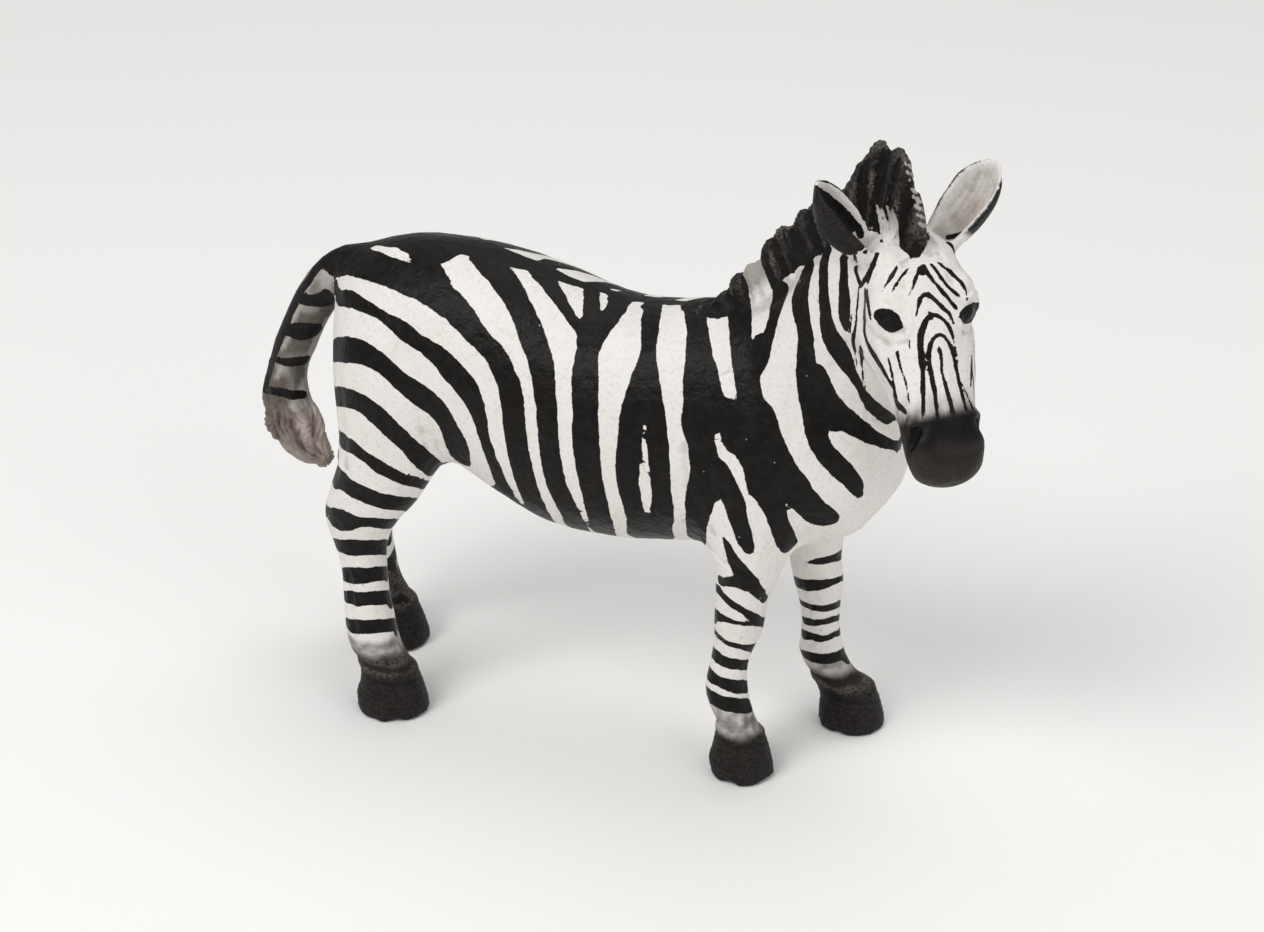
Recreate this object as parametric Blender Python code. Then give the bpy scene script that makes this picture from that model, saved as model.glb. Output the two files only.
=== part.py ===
"""A zebra figurine, moulded in one piece: trunk, neck and turned head, four legs, mane, ears and tail.

Metres, +Z up. The animal looks along +X, with its head turned to its right, towards -Y.
Every station of the form is given in sculptor's units: 88 of them make the height at the withers.
The form is drawn as closed skins over stations, fused into one body, smoothed where muscles
run together, and then carved: eyes, nostrils, mouth, cheeks, knees, locks of the mane and tail.
"""

import math

import bmesh
import bpy
import numpy as np
from mathutils import Vector

# Driving sizes, in metres
WITHERS_HEIGHT = 0.088
FLESH_GRAIN = 0.0009
CAST_GRAIN = 0.00052
SOLE_SNAP = 0.00012
FACET_BUDGET = 9300

U = WITHERS_HEIGHT / 88.0

# Where the four soles are cut flat, in sculptor's units
SOLE_LEVEL = 1.9

# Rounds of smoothing: all over the flesh, where its parts join, over the cast figure, and once carved
FLESH_ROUNDS = 6
JOIN_ROUNDS = 60
CAST_ROUNDS = 3
CARVED_ROUNDS = 1

# Where muscles run together: the centre and the radius of each join
JOINS = (
    ((33, -9, 50), 16),
    ((38, 9, 50), 16),
    ((-30, -10, 55), 18),
    ((-32, 10, 55), 18),
    ((40, 0, 82), 24),
    ((56, -8, 96), 12),
    ((-44, 0, 84), 11),
)

# Spots (centre, radius) whose carving keeps more triangles, by how much, and how far that fades
FINE_SPOTS = (((66.0, -16.0, 92.0), 17.0), ((56.0, -7.0, 113.0), 12.0), ((36.0, -1.0, 99.0), 9.0),
              ((-57.0, 0.0, 50.0), 9.0))
FINE_FAVOUR = 0.04
FINE_WEIGHT = 0.9
FINE_FADE = 0.3

# The head's own axes: along the face to the nose, out of the forehead, and to the animal's left
HEAD_ORIGIN = (59.0, -7.8, 103.8)
HEAD_YAW = math.radians(-49.0)
HEAD_PITCH = math.radians(55.0)

# The locks of hair: distance from lock to lock, and how deep the grooves between them are
MANE_LOCK_PITCH = 3.0
MANE_LOCK_DEPTH = 0.85
MANE_THICKNESS = 6.2
TAIL_LOCK_COUNT = 7
TAIL_LOCK_DEPTH = 1.7

PAINT_WHITE = (0.80, 0.78, 0.75, 1.0)
PAINT_ROUGHNESS = 0.45

# Along the spine: centre, half width, up to the back, down to the belly
TRUNK = (
    (-46.6, 0, 70.0, 5.5, 12.0, 11.0),
    (-44.2, 0, 70.0, 11.5, 17.5, 16.0),
    (-38.0, 0, 69.5, 15.3, 20.8, 18.5),
    (-30.0, 0, 69.0, 16.8, 22.2, 17.5),
    (-22.0, 0, 68.0, 17.3, 23.4, 15.8),
    (-12.0, 0, 65.0, 17.9, 24.6, 18.2),
    (-2.0, 0, 63.0, 18.4, 23.6, 21.2),
    (8.0, 0, 62.5, 18.4, 22.5, 21.2),
    (18.0, 0, 63.0, 17.4, 23.1, 20.1),
    (26.0, 0, 64.0, 16.2, 23.6, 20.1),
    (36.0, 0, 65.0, 15.0, 21.0, 19.6),
    (46.0, 0, 66.0, 14.2, 17.0, 18.8),
    (53.0, 0, 66.0, 12.2, 12.0, 15.2),
    (58.0, 0, 65.5, 7.2, 6.5, 8.2),
)

NECK = (
    (28.0, 0.0, 66.0, 13.0, 18.0, 20.0),
    (37.0, 0.0, 75.0, 12.5, 15.0, 18.5),
    (45.5, -1.5, 83.5, 10.5, 13.0, 15.5),
    (52.0, -4.0, 92.0, 8.8, 12.3, 13.0),
    (56.5, -6.5, 99.0, 7.8, 10.0, 10.5),
    (59.0, -8.5, 104.5, 6.3, 6.5, 7.0),
)

# Along the face from the nape: distance, half width, forehead side, throat side
HEAD = (
    (-5.0, 4.0, 3.0, 4.0),
    (-2.0, 6.8, 5.4, 7.0),
    (2.0, 8.3, 6.7, 9.5),
    (6.0, 8.9, 7.0, 11.5),
    (10.0, 8.7, 6.8, 12.3),
    (14.0, 8.3, 6.3, 11.6),
    (18.0, 7.6, 5.7, 10.0),
    (22.0, 6.9, 5.2, 8.6),
    (26.0, 6.3, 4.9, 7.9),
    (30.0, 6.5, 4.7, 7.5),
    (33.2, 6.3, 4.1, 6.9),
    (35.7, 5.1, 2.6, 5.4),
    (37.2, 2.6, 0.6, 3.0),
)

# Down each leg: centre, half width, forwards, backwards
THIGH_RIGHT = (
    (-33.0, -5.5, 82.0, 6.0, 6.0, 6.0),
    (-34.0, -8.0, 74.0, 8.5, 11.0, 10.0),
    (-34.0, -9.3, 64.0, 8.8, 12.4, 10.9),
    (-34.3, -10.4, 55.0, 8.2, 11.0, 9.2),
    (-35.0, -11.2, 48.5, 7.4, 8.0, 9.0),
    (-37.8, -12.0, 43.4, 6.3, 6.6, 8.0),
    (-39.3, -12.2, 39.0, 5.3, 5.6, 7.6),
    (-39.8, -12.5, 35.1, 4.6, 5.1, 5.4),
    (-39.3, -12.7, 31.2, 4.1, 4.4, 4.4),
    (-38.7, -13.2, 25.3, 4.0, 4.4, 4.4),
    (-37.9, -13.7, 19.4, 4.4, 4.9, 5.1),
    (-36.9, -14.0, 15.6, 4.5, 4.6, 5.2),
    (-35.0, -14.2, 12.8, 4.1, 4.1, 4.1),
    (-34.0, -13.9, 9.0, 4.6, 4.8, 4.6),
)

THIGH_LEFT = (
    (-33.0, 5.5, 82.0, 6.0, 6.0, 6.0),
    (-34.5, 8.0, 74.0, 8.5, 11.0, 10.0),
    (-36.0, 9.3, 64.0, 8.8, 12.4, 10.3),
    (-38.5, 10.0, 55.0, 8.2, 11.2, 8.8),
    (-41.5, 10.3, 48.5, 7.2, 8.6, 8.8),
    (-46.0, 10.3, 43.0, 6.2, 6.8, 7.8),
    (-48.6, 10.2, 38.5, 5.3, 6.0, 7.4),
    (-49.7, 10.1, 34.5, 4.6, 5.1, 5.4),
    (-49.8, 10.0, 30.5, 4.1, 4.4, 4.4),
    (-49.6, 9.8, 24.8, 4.0, 4.4, 4.4),
    (-49.2, 9.6, 19.0, 4.4, 4.9, 5.1),
    (-48.3, 9.4, 15.3, 4.5, 4.6, 5.2),
    (-46.6, 9.4, 12.6, 4.1, 4.1, 4.1),
    (-45.8, 9.3, 9.0, 4.6, 4.8, 4.6),
)

ARM_RIGHT = (
    (31.0, -7.0, 72.0, 6.0, 7.0, 7.0),
    (32.5, -9.0, 64.0, 7.2, 9.6, 9.6),
    (33.5, -10.0, 55.0, 7.0, 9.6, 9.2),
    (34.0, -10.5, 48.0, 6.2, 8.0, 8.0),
    (33.8, -10.5, 43.0, 5.2, 5.9, 6.0),
    (32.7, -10.4, 37.3, 4.6, 4.8, 4.9),
    (32.0, -10.3, 31.3, 4.4, 4.6, 4.2),
    (31.1, -10.3, 26.9, 3.5, 3.5, 3.6),
    (30.6, -10.2, 22.6, 3.5, 3.5, 3.7),
    (30.3, -10.2, 19.1, 3.9, 3.8, 4.5),
    (30.8, -10.2, 16.0, 3.8, 3.7, 4.0),
    (32.0, -10.2, 13.2, 3.5, 3.5, 3.5),
    (32.8, -10.2, 9.0, 4.2, 4.3, 4.2),
)

ARM_LEFT = (
    (32.0, 7.0, 72.0, 6.0, 7.0, 7.0),
    (35.0, 9.0, 64.0, 7.2, 9.6, 9.6),
    (37.0, 10.0, 55.0, 7.0, 9.6, 9.2),
    (38.3, 10.7, 48.0, 6.2, 8.0, 8.0),
    (38.8, 11.0, 42.0, 5.2, 5.9, 6.0),
    (39.0, 11.5, 35.5, 4.6, 4.9, 5.0),
    (39.4, 12.0, 30.0, 4.5, 4.8, 4.4),
    (39.8, 12.5, 25.3, 3.6, 3.7, 3.8),
    (39.8, 13.0, 20.5, 3.6, 3.6, 3.8),
    (40.0, 13.1, 17.0, 4.0, 3.9, 4.5),
    (40.9, 13.2, 14.0, 3.9, 3.8, 4.1),
    (42.4, 13.2, 11.6, 3.7, 3.7, 3.7),
    (44.2, 13.2, 8.0, 4.4, 4.6, 4.4),
)

# Each hoof: its centre on the ground, half its length, and its height
HOOVES = (
    ((-34.2, -13.5), 6.8, 10.9),
    ((-45.2, 9.3), 7.0, 10.9),
    ((33.0, -10.2), 6.0, 10.8),
    ((46.0, 13.2), 6.2, 10.0),
)

TAIL = (
    (-40.0, 0, 84.0, 3.4, 4.0, 4.0),
    (-46.5, 0, 83.0, 3.7, 4.2, 4.2),
    (-52.0, 0, 77.5, 3.7, 4.2, 4.2),
    (-55.8, 0, 70.5, 3.6, 4.0, 4.0),
    (-58.9, 0, 63.5, 3.7, 4.1, 4.1),
    (-60.4, 0, 56.0, 4.1, 5.0, 4.8),
    (-59.0, 0, 50.0, 4.2, 6.4, 6.4),
    (-56.0, 0, 45.5, 3.6, 5.2, 5.2),
    (-51.8, 0, 42.6, 1.9, 2.4, 2.0),
)

# Along the mane: a point of its root line, and the crest's point above it
MANE = (
    ((22.0, 0.0, 83.5), (21.6, 0.0, 86.4)),
    ((28.5, 0.0, 86.0), (26.0, 0.0, 92.3)),
    ((32.5, -0.3, 89.5), (29.1, -0.3, 96.2)),
    ((36.0, -0.8, 92.5), (32.4, -0.6, 100.0)),
    ((40.0, -1.5, 96.5), (35.6, -1.2, 104.8)),
    ((44.0, -2.4, 100.5), (39.6, -2.0, 108.0)),
    ((47.5, -3.4, 103.5), (44.4, -3.0, 111.6)),
    ((50.0, -4.0, 105.0), (49.3, -3.8, 119.0)),
    ((53.0, -5.0, 106.0), (53.0, -4.4, 122.8)),
    ((55.5, -6.6, 106.0), (56.4, -6.6, 122.9)),
    ((57.5, -8.2, 105.5), (59.2, -8.9, 120.8)),
    ((58.8, -9.0, 105.0), (61.3, -10.6, 117.2)),
    ((60.0, -9.6, 104.5), (62.7, -12.4, 112.9)),
    ((61.0, -10.4, 103.8), (63.0, -12.6, 109.4)),
    ((61.8, -11.2, 103.0), (62.7, -12.2, 107.2)),
)

# How far along the mane each clump of locks ends, as shares of its length, and the crest's step there
MANE_CLUMPS = (0.0, 0.17, 0.31, 0.47, 0.62, 0.76, 0.88, 1.0)
MANE_CLUMP_STEP = 1.7

# The mane's section: how far its foot sinks into the neck, its taper to the crest, and its points
MANE_SINK = 3.0
MANE_TAPER = 0.45
MANE_STEPS = 12
MANE_AROUND = 18

# The ear's foot and tip in the head's axes, for the left ear; the right one is its mirror image
EAR_FOOT = (-3.0, 1.2, 6.0)
EAR_TIP = (-13.2, 8.1, 15.7)
EAR_FACING = math.radians(62.0)
EAR_WALL = 1.2
EAR_ARC = math.radians(100)
EAR_ARC_STEPS = 12
EAR = (
    (-0.15, 2.9, 3.0),
    (0.08, 3.6, 4.2),
    (0.30, 4.2, 5.2),
    (0.55, 4.5, 5.0),
    (0.75, 3.9, 3.8),
    (0.90, 2.4, 2.2),
    (1.00, 0.8, 0.7),
)

# Carving in the head's axes, made on both sides: the path of a hollow or swelling, its reach, its height
FACE = (
    ("brow", ((6.0, 4.6, 7.6), (8.2, 3.0, 8.8)), 4.2, 1.3),
    ("socket", ((10.2, 4.6, 7.0),), 3.8, -1.1),
    ("eyeball", ((10.2, 4.2, 6.7),), 2.7, 1.5),
    ("upper lid", ((11.0, 6.2, 4.6), (8.0, 5.6, 6.4), (7.4, 4.0, 8.2), (9.4, 2.4, 9.0)), 1.5, 0.7),
    ("tear pit", ((12.9, 5.2, 5.0), (12.9, 2.2, 7.8)), 1.7, -0.35),
    ("cheek", ((8.0, -6.0, 7.4), (12.0, -5.0, 7.2)), 6.0, 0.90),
    ("jaw hollow", ((19.5, -2.5, 6.2), (24.0, -1.0, 6.0)), 3.6, -0.55),
    ("nostril rim", ((27.2, 2.6, 4.9), (30.0, 1.4, 5.9)), 2.6, 0.60),
    ("nostril", ((27.7, 2.7, 5.3), (29.9, 1.1, 6.5)), 1.6, -1.7),
    ("mouth", ((34.6, -3.0, 3.6), (32.5, -3.5, 5.6), (29.0, -4.2, 6.4), (25.5, -4.8, 6.0)), 1.1, -0.75),
    ("lower lip", ((34.2, -5.0, 3.0),), 3.2, 0.5),
)

MIDLINE = (
    ("nose bone", ((14.0, 6.4, 0.0), (26.0, 5.2, 0.0)), 3.2, 0.35),
    ("mouth front", ((34.8, -2.9, -3.6), (36.2, -2.2, 0.0), (34.8, -2.9, 3.6)), 1.1, -0.7),
    ("upper lip", ((33.0, 3.4, -3.0), (33.6, 3.8, 0.0), (33.0, 3.4, 3.0)), 1.4, -0.35),
)

# Carving on the body, in sculptor's units: name, path, reach, height
BODY = (
    ("right shoulder", ((40.0, -13.0, 76.0), (36.0, -16.5, 62.0)), 8.0, 0.7),
    ("left shoulder", ((42.0, 13.0, 76.0), (39.0, 16.5, 62.0)), 8.0, 0.7),
    ("right elbow", ((25.5, -15.0, 56.0),), 6.0, 0.6),
    ("left elbow", ((28.0, 15.0, 56.0),), 6.0, 0.6),
    ("right haunch", ((-33.0, -17.5, 68.0),), 11.0, 0.7),
    ("left haunch", ((-34.0, 17.5, 68.0),), 11.0, 0.7),
    ("right flank", ((-18.0, -17.0, 66.0), (-17.0, -15.0, 56.0)), 6.0, -0.8),
    ("left flank", ((-19.0, 17.0, 66.0), (-18.0, 15.0, 56.0)), 6.0, -0.8),
    ("breast", ((56.0, 0.0, 62.0), (52.0, 0.0, 52.0)), 3.5, -0.8),
    ("throat", ((51.0, -12.0, 88.0), (42.0, -12.5, 76.0)), 4.0, -0.5),
    ("left throat", ((56.5, 4.0, 88.0), (50.0, 8.5, 76.0)), 4.0, -0.5),
    ("right knee", ((36.2, -10.4, 32.5),), 3.6, 0.5),
    ("left knee", ((43.9, 12.0, 31.2),), 3.6, 0.5),
    ("right hock", ((-46.0, -12.3, 38.6),), 3.6, 0.6),
    ("left hock", ((-55.2, 10.2, 38.2),), 3.6, 0.6),
)


def clear_scene():
    for obj in list(bpy.data.objects):
        bpy.data.objects.remove(obj)


def spline(rows, steps):
    """Rows of numbers, with `steps` rows for each span, on a Catmull-Rom curve through them."""
    rows = [Vector(row) for row in rows]
    ends = [2 * rows[0] - rows[1]] + rows + [2 * rows[-1] - rows[-2]]
    found = []
    for i in range(1, len(ends) - 2):
        p0, p1, p2, p3 = ends[i - 1 : i + 3]
        for k in range(steps):
            t = k / steps
            found.append(
                0.5 * (2 * p1 + (p2 - p0) * t + (2 * p0 - 5 * p1 + 4 * p2 - p3) * t * t
                       + (3 * p1 - p0 - 3 * p2 + p3) * t ** 3)
            )
    found.append(ends[-2])
    return found


def superellipse(angle, power):
    c, s = math.cos(angle), math.sin(angle)
    return (
        math.copysign(abs(c) ** (2.0 / power), c),
        math.copysign(abs(s) ** (2.0 / power), s),
    )


def skin(rings):
    """A closed bmesh through rings of points, in metres, each with as many points as the next."""
    mesh = bmesh.new()
    rings = [[mesh.verts.new(point) for point in ring] for ring in rings]
    around = len(rings[0])
    for low, high in zip(rings, rings[1:]):
        for k in range(around):
            m = (k + 1) % around
            mesh.faces.new((low[k], low[m], high[m], high[k]))
    mesh.faces.new(list(reversed(rings[0])))
    mesh.faces.new(rings[-1])
    bmesh.ops.recalc_face_normals(mesh, faces=mesh.faces)
    return mesh


def loft(stations, side, steps=5, around=28, power=2.0, locks=0, lock_depth=0.0):
    """A closed skin over stations (x, y, z, half width, up, down).

    `side` points to the half width's side. Up is the way along x side, so it is the back
    of a trunk and the front of a leg that is drawn from the hip down. With locks, as many
    grooves run down it, twisting slowly and growing from nothing at the first station.
    """
    rows = spline(stations, steps)
    centres = [Vector(row[:3]) * U for row in rows]
    rings = []
    for i, row in enumerate(rows):
        before, after = centres[max(i - 1, 0)], centres[min(i + 1, len(rows) - 1)]
        along = (after - before).normalized()
        across = (Vector(side) - along * along.dot(Vector(side))).normalized()
        lift = along.cross(across)
        half, up, down = (max(value, 0.2) * U for value in row[3:6])
        share = i / (len(rows) - 1)
        ring = []
        for k in range(around):
            angle = 2 * math.pi * k / around
            c, s = superellipse(angle, power)
            reach = up if s > 0 else down
            groove = lock_depth * U * share * (0.5 - 0.5 * math.cos(locks * angle + 2.5 * share))
            slim = 1.0 - groove / half if locks else 1.0
            ring.append(centres[i] + (across * half * c + lift * reach * s) * slim)
        rings.append(ring)
    return skin(rings)


def add_object(name, meshes):
    """One object from several closed bmeshes, which still overlap."""
    joined = bmesh.new()
    for mesh in meshes:
        data = bpy.data.meshes.new("shape")
        mesh.to_mesh(data)
        mesh.free()
        joined.from_mesh(data)
        bpy.data.meshes.remove(data)
    data = bpy.data.meshes.new(name)
    joined.to_mesh(data)
    joined.free()
    obj = bpy.data.objects.new(name, data)
    bpy.context.scene.collection.objects.link(obj)
    return obj


def bake(obj):
    """The object with its modifiers applied."""
    graph = bpy.context.evaluated_depsgraph_get()
    data = bpy.data.meshes.new_from_object(obj.evaluated_get(graph))
    obj.modifiers.clear()
    obj.data = data


def fuse(obj, grain):
    modifier = obj.modifiers.new("Fuse", "REMESH")
    modifier.mode = "VOXEL"
    modifier.voxel_size = grain
    bake(obj)


def soften(obj, rounds, strength=0.5, spots=()):
    """Smooths the surface, all over or, with spots (centre, radius), only about those."""
    modifier = obj.modifiers.new("Soften", "SMOOTH")
    modifier.iterations = rounds
    modifier.factor = strength
    if spots:
        group = obj.vertex_groups.new(name="Soft")
        for vertex in obj.data.vertices:
            weight = 0.0
            for centre, radius in spots:
                far = (vertex.co - Vector(centre) * U).length / (radius * U)
                weight = max(weight, 1.0 - far * far)
            if weight > 0.0:
                group.add([vertex.index], weight, "REPLACE")
        modifier.vertex_group = group.name
    bake(obj)
    obj.vertex_groups.clear()


def distance_to_path(points, path):
    """Each point's distance to a path, which may be a single point."""
    path = [np.array(point, dtype=float) for point in path]
    nearest = np.linalg.norm(points - path[0], axis=1)
    for start, end in zip(path, path[1:]):
        span = end - start
        share = np.clip((points - start) @ span / (span @ span), 0.0, 1.0)
        nearest = np.minimum(nearest, np.linalg.norm(points - start - share[:, None] * span, axis=1))
    return nearest


def press(obj, strokes):
    """Swells or hollows the surface along each stroke (name, path, reach, height)."""
    count = len(obj.data.vertices)
    places = np.empty(count * 3)
    obj.data.vertices.foreach_get("co", places)
    places = places.reshape(count, 3) / U
    for _, path, reach, height in strokes:
        normals = np.empty(count * 3)
        obj.data.vertices.foreach_get("normal", normals)
        near = np.clip(1.0 - (distance_to_path(places, path) / reach) ** 2, 0.0, 1.0) ** 2
        places = places + normals.reshape(count, 3) * (near * height)[:, None]
        obj.data.vertices.foreach_set("co", (places * U).ravel())
        obj.data.update()


def head_axes():
    """Along the face, out of the forehead, and to the animal's left."""
    heading = Vector((math.cos(HEAD_YAW), math.sin(HEAD_YAW), 0.0))
    along = heading * math.cos(HEAD_PITCH) - Vector((0, 0, math.sin(HEAD_PITCH)))
    out = heading * math.sin(HEAD_PITCH) + Vector((0, 0, math.cos(HEAD_PITCH)))
    left = Vector((-math.sin(HEAD_YAW), math.cos(HEAD_YAW), 0.0))
    return along, out, left


def head_point(along, out, left):
    """A point given in the head's axes, in sculptor's units."""
    a, o, l = head_axes()
    return Vector(HEAD_ORIGIN) + a * along + o * out + l * left


def head_mesh():
    _, _, left = head_axes()
    rows = [(*head_point(s, 0, 0), half, up, down) for s, half, up, down in HEAD]
    return loft(rows, left, power=2.2)


def hoof_mesh(centre, half, height):
    """A hoof on the ground: a cone that widens to the sole, with a rim where the hair ends."""
    x, y = centre
    rows = (
        (x - 0.2, y, height + 1.5, half * 0.52, half * 0.55, half * 0.55),
        (x - 0.2, y, height, half * 0.70, half * 0.74, half * 0.74),
        (x, y, height * 0.6, half * 0.84, half * 0.92, half * 0.88),
        (x, y, height * 0.3, half * 0.95, half * 1.03, half * 0.96),
        (x, y, 0.8, half * 0.98, half * 1.07, half * 0.98),
        (x, y, -1.5, half * 0.90, half * 0.98, half * 0.90),
    )
    return loft(rows, (0, 1, 0), steps=3)


def clump_height(share):
    """What the crest gains at a share of the mane's length: each clump rises and ends in a step."""
    for start, end in zip(MANE_CLUMPS, MANE_CLUMPS[1:]):
        if share <= end:
            rise = (share - start) / (end - start)
            return MANE_CLUMP_STEP * (math.sin(math.pi * rise ** 0.7) - 0.6)
    return 0.0


def mane_mesh():
    """The upright mane: a sheet of locks that stand side by side on the crest of the neck."""
    roots = spline([root for root, _ in MANE], MANE_STEPS)
    crests = spline([crest for _, crest in MANE], MANE_STEPS)
    travelled = 0.0
    rings = []
    for i, (root, crest) in enumerate(zip(roots, crests)):
        before, after = roots[max(i - 1, 0)], roots[min(i + 1, len(roots) - 1)]
        travelled += (roots[i] - before).length if i else 0.0
        up = (crest - root).normalized()
        across = up.cross(after - before).normalized()
        share = i / (len(roots) - 1)
        height = (crest - root).length + clump_height(share) * min(1.0, 6.0 * share, 6.0 * (1 - share))
        lock = 0.5 + 0.5 * math.cos(2 * math.pi * travelled / MANE_LOCK_PITCH)
        ring = []
        for k in range(MANE_AROUND):
            c, s = superellipse(2 * math.pi * k / MANE_AROUND, 2.5)
            level = (s + 1) / 2
            half = MANE_THICKNESS / 2 * (1.0 - MANE_TAPER * level) - MANE_LOCK_DEPTH * (1 - lock)
            ring.append((root + across * half * c + up * (level * (height + MANE_SINK) - MANE_SINK)) * U)
        rings.append(ring)
    return skin(rings)


def ear_mesh(hand):
    """An ear, open like a scoop; hand is 1 for the left ear and -1 for the right."""
    _, _, left = head_axes()
    foot = head_point(EAR_FOOT[0], EAR_FOOT[1], EAR_FOOT[2] * hand)
    tip = head_point(EAR_TIP[0], EAR_TIP[1], EAR_TIP[2] * hand)
    axis = (tip - foot).normalized()
    heading = Vector((math.cos(HEAD_YAW), math.sin(HEAD_YAW), 0.0))
    inward = (left * -hand - axis * axis.dot(left * -hand)).normalized()
    facing = heading * math.cos(EAR_FACING) + inward * math.sin(EAR_FACING)
    facing = (facing - axis * facing.dot(axis)).normalized()
    side = axis.cross(facing)
    rings = []
    for share, half, deep in spline(EAR, 4):
        centre = foot + (tip - foot) * share
        inner_half = max(half - EAR_WALL, half * 0.3)
        inner_deep = max(deep - EAR_WALL, deep * 0.2)
        ring = []
        for k in range(EAR_ARC_STEPS + 1):
            angle = -EAR_ARC + 2 * EAR_ARC * k / EAR_ARC_STEPS
            ring.append(centre + side * half * math.sin(angle) - facing * deep * math.cos(angle))
        for k in range(EAR_ARC_STEPS + 1):
            angle = EAR_ARC - 2 * EAR_ARC * k / EAR_ARC_STEPS
            ring.append(centre + side * inner_half * math.sin(angle) - facing * inner_deep * math.cos(angle))
        rings.append([point * U for point in ring])
    return skin(rings)


def flesh_object():
    """Trunk, neck, head, legs and tail, run together as flesh is."""
    y = (0, 1, 0)
    flesh = add_object("flesh", [
        loft(TRUNK, y, power=2.15),
        loft(NECK, y),
        head_mesh(),
        loft(THIGH_RIGHT, y),
        loft(THIGH_LEFT, y),
        loft(ARM_RIGHT, y),
        loft(ARM_LEFT, y),
        loft(TAIL[:5], y),
    ])
    fuse(flesh, FLESH_GRAIN)
    soften(flesh, FLESH_ROUNDS)
    soften(flesh, JOIN_ROUNDS, spots=JOINS)
    return flesh


def face_strokes():
    """The head's carving, in the body's units: both sides, and the middle line."""
    strokes = []
    for name, path, reach, height in FACE:
        for hand in (1, -1):
            strokes.append((name, [head_point(s, o, l * hand) for s, o, l in path], reach, height))
    for name, path, reach, height in MIDLINE:
        strokes.append((name, [head_point(*point) for point in path], reach, height))
    return strokes


def thin_out(obj):
    """As few triangles as the form needs, within the budget, with more of them on the carved spots."""
    group = obj.vertex_groups.new(name="Plain")
    for vertex in obj.data.vertices:
        far = min((vertex.co / U - Vector(centre)).length / radius for centre, radius in FINE_SPOTS)
        plain = min(1.0, max(0.0, (far - 1.0) / FINE_FADE))
        group.add([vertex.index], FINE_WEIGHT + (1.0 - FINE_WEIGHT) * plain, "REPLACE")
    obj.data.calc_loop_triangles()
    modifier = obj.modifiers.new("Thin out", "DECIMATE")
    modifier.ratio = FACET_BUDGET / len(obj.data.loop_triangles)
    modifier.vertex_group = group.name
    modifier.vertex_group_factor = FINE_FAVOUR
    bake(obj)
    obj.vertex_groups.clear()


def cut_soles(obj):
    """Cuts every hoof off flat at the level of the ground."""
    level = SOLE_LEVEL * U
    mesh = bmesh.new()
    mesh.from_mesh(obj.data)
    for vert in mesh.verts:
        if abs(vert.co.z - level) < SOLE_SNAP:
            vert.co.z = level
    cut = bmesh.ops.bisect_plane(
        mesh, geom=mesh.verts[:] + mesh.edges[:] + mesh.faces[:], dist=SOLE_SNAP / 10,
        plane_co=(0, 0, level), plane_no=(0, 0, -1), clear_outer=True,
    )
    rims = [item for item in cut["geom_cut"] if isinstance(item, bmesh.types.BMEdge)]
    for edge in rims:
        for vert in edge.verts:
            vert.co.z = level
    bmesh.ops.contextual_create(mesh, geom=rims)
    bmesh.ops.holes_fill(mesh, edges=mesh.edges, sides=0)
    bmesh.ops.triangulate(mesh, faces=mesh.faces)
    bmesh.ops.dissolve_degenerate(mesh, edges=mesh.edges, dist=SOLE_SNAP / 4)
    bmesh.ops.triangulate(mesh, faces=mesh.faces)
    bmesh.ops.recalc_face_normals(mesh, faces=mesh.faces)
    mesh.to_mesh(obj.data)
    mesh.free()


def stand_at_origin(obj):
    """Moves the figure so that the origin is below its middle, at the soles. Returns the move."""
    corners = np.array([vertex.co for vertex in obj.data.vertices])
    low, high = corners.min(axis=0), corners.max(axis=0)
    move = Vector((-(low[0] + high[0]) / 2, -(low[1] + high[1]) / 2, -low[2]))
    for vertex in obj.data.vertices:
        vertex.co += move
    return move


def paint(obj):
    material = bpy.data.materials.new("painted vinyl")
    material.use_nodes = True
    shader = material.node_tree.nodes["Principled BSDF"]
    shader.inputs["Base Color"].default_value = PAINT_WHITE
    shader.inputs["Roughness"].default_value = PAINT_ROUGHNESS
    shader.inputs["Metallic"].default_value = 0.0
    obj.data.materials.append(material)


def build():
    """The finished figurine, and the move from the sculptor's frame to the part's own."""
    flesh = flesh_object()
    body = bmesh.new()
    body.from_mesh(flesh.data)
    bpy.data.objects.remove(flesh)
    tail = loft(TAIL, (0, 1, 0), around=42, locks=TAIL_LOCK_COUNT, lock_depth=TAIL_LOCK_DEPTH)
    details = [tail, mane_mesh(), ear_mesh(1), ear_mesh(-1)]
    details += [hoof_mesh(*hoof) for hoof in HOOVES]
    figure = add_object("zebra", [body] + details)
    fuse(figure, CAST_GRAIN)
    soften(figure, CAST_ROUNDS)
    press(figure, face_strokes())
    press(figure, BODY)
    soften(figure, CARVED_ROUNDS)
    thin_out(figure)
    cut_soles(figure)
    move = stand_at_origin(figure)
    paint(figure)
    figure.data.shade_smooth()
    return figure, move


clear_scene()
zebra, figure_shift = build()
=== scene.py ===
"""A hand-painted zebra figurine of moulded vinyl, on a pale floor in soft studio light.

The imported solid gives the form. Here it becomes one finely modelled piece: strands in the mane and
tail, eyelids, skin folds, tendons and hooves are carved into the mesh, and the paint is laid on it
stroke by stroke. A stroke is held as the two edges that the photo shows, in the photo's pixels, is
cast on the figure from the photo's viewpoint, and goes on round the sides that the photo hides.

Lengths named MM are millimetres. Places of the form are in sculptor's units, which are millimetres
in the frame that the figure was drawn in, and FIGURE_SHIFT takes them to the part's frame.
"""

import logging
import math
from dataclasses import dataclass, field
from enum import Enum

import bpy  # noqa: E402
import numpy as np  # noqa: E402
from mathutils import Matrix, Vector  # noqa: E402
from mathutils.bvhtree import BVHTree  # noqa: E402

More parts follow.
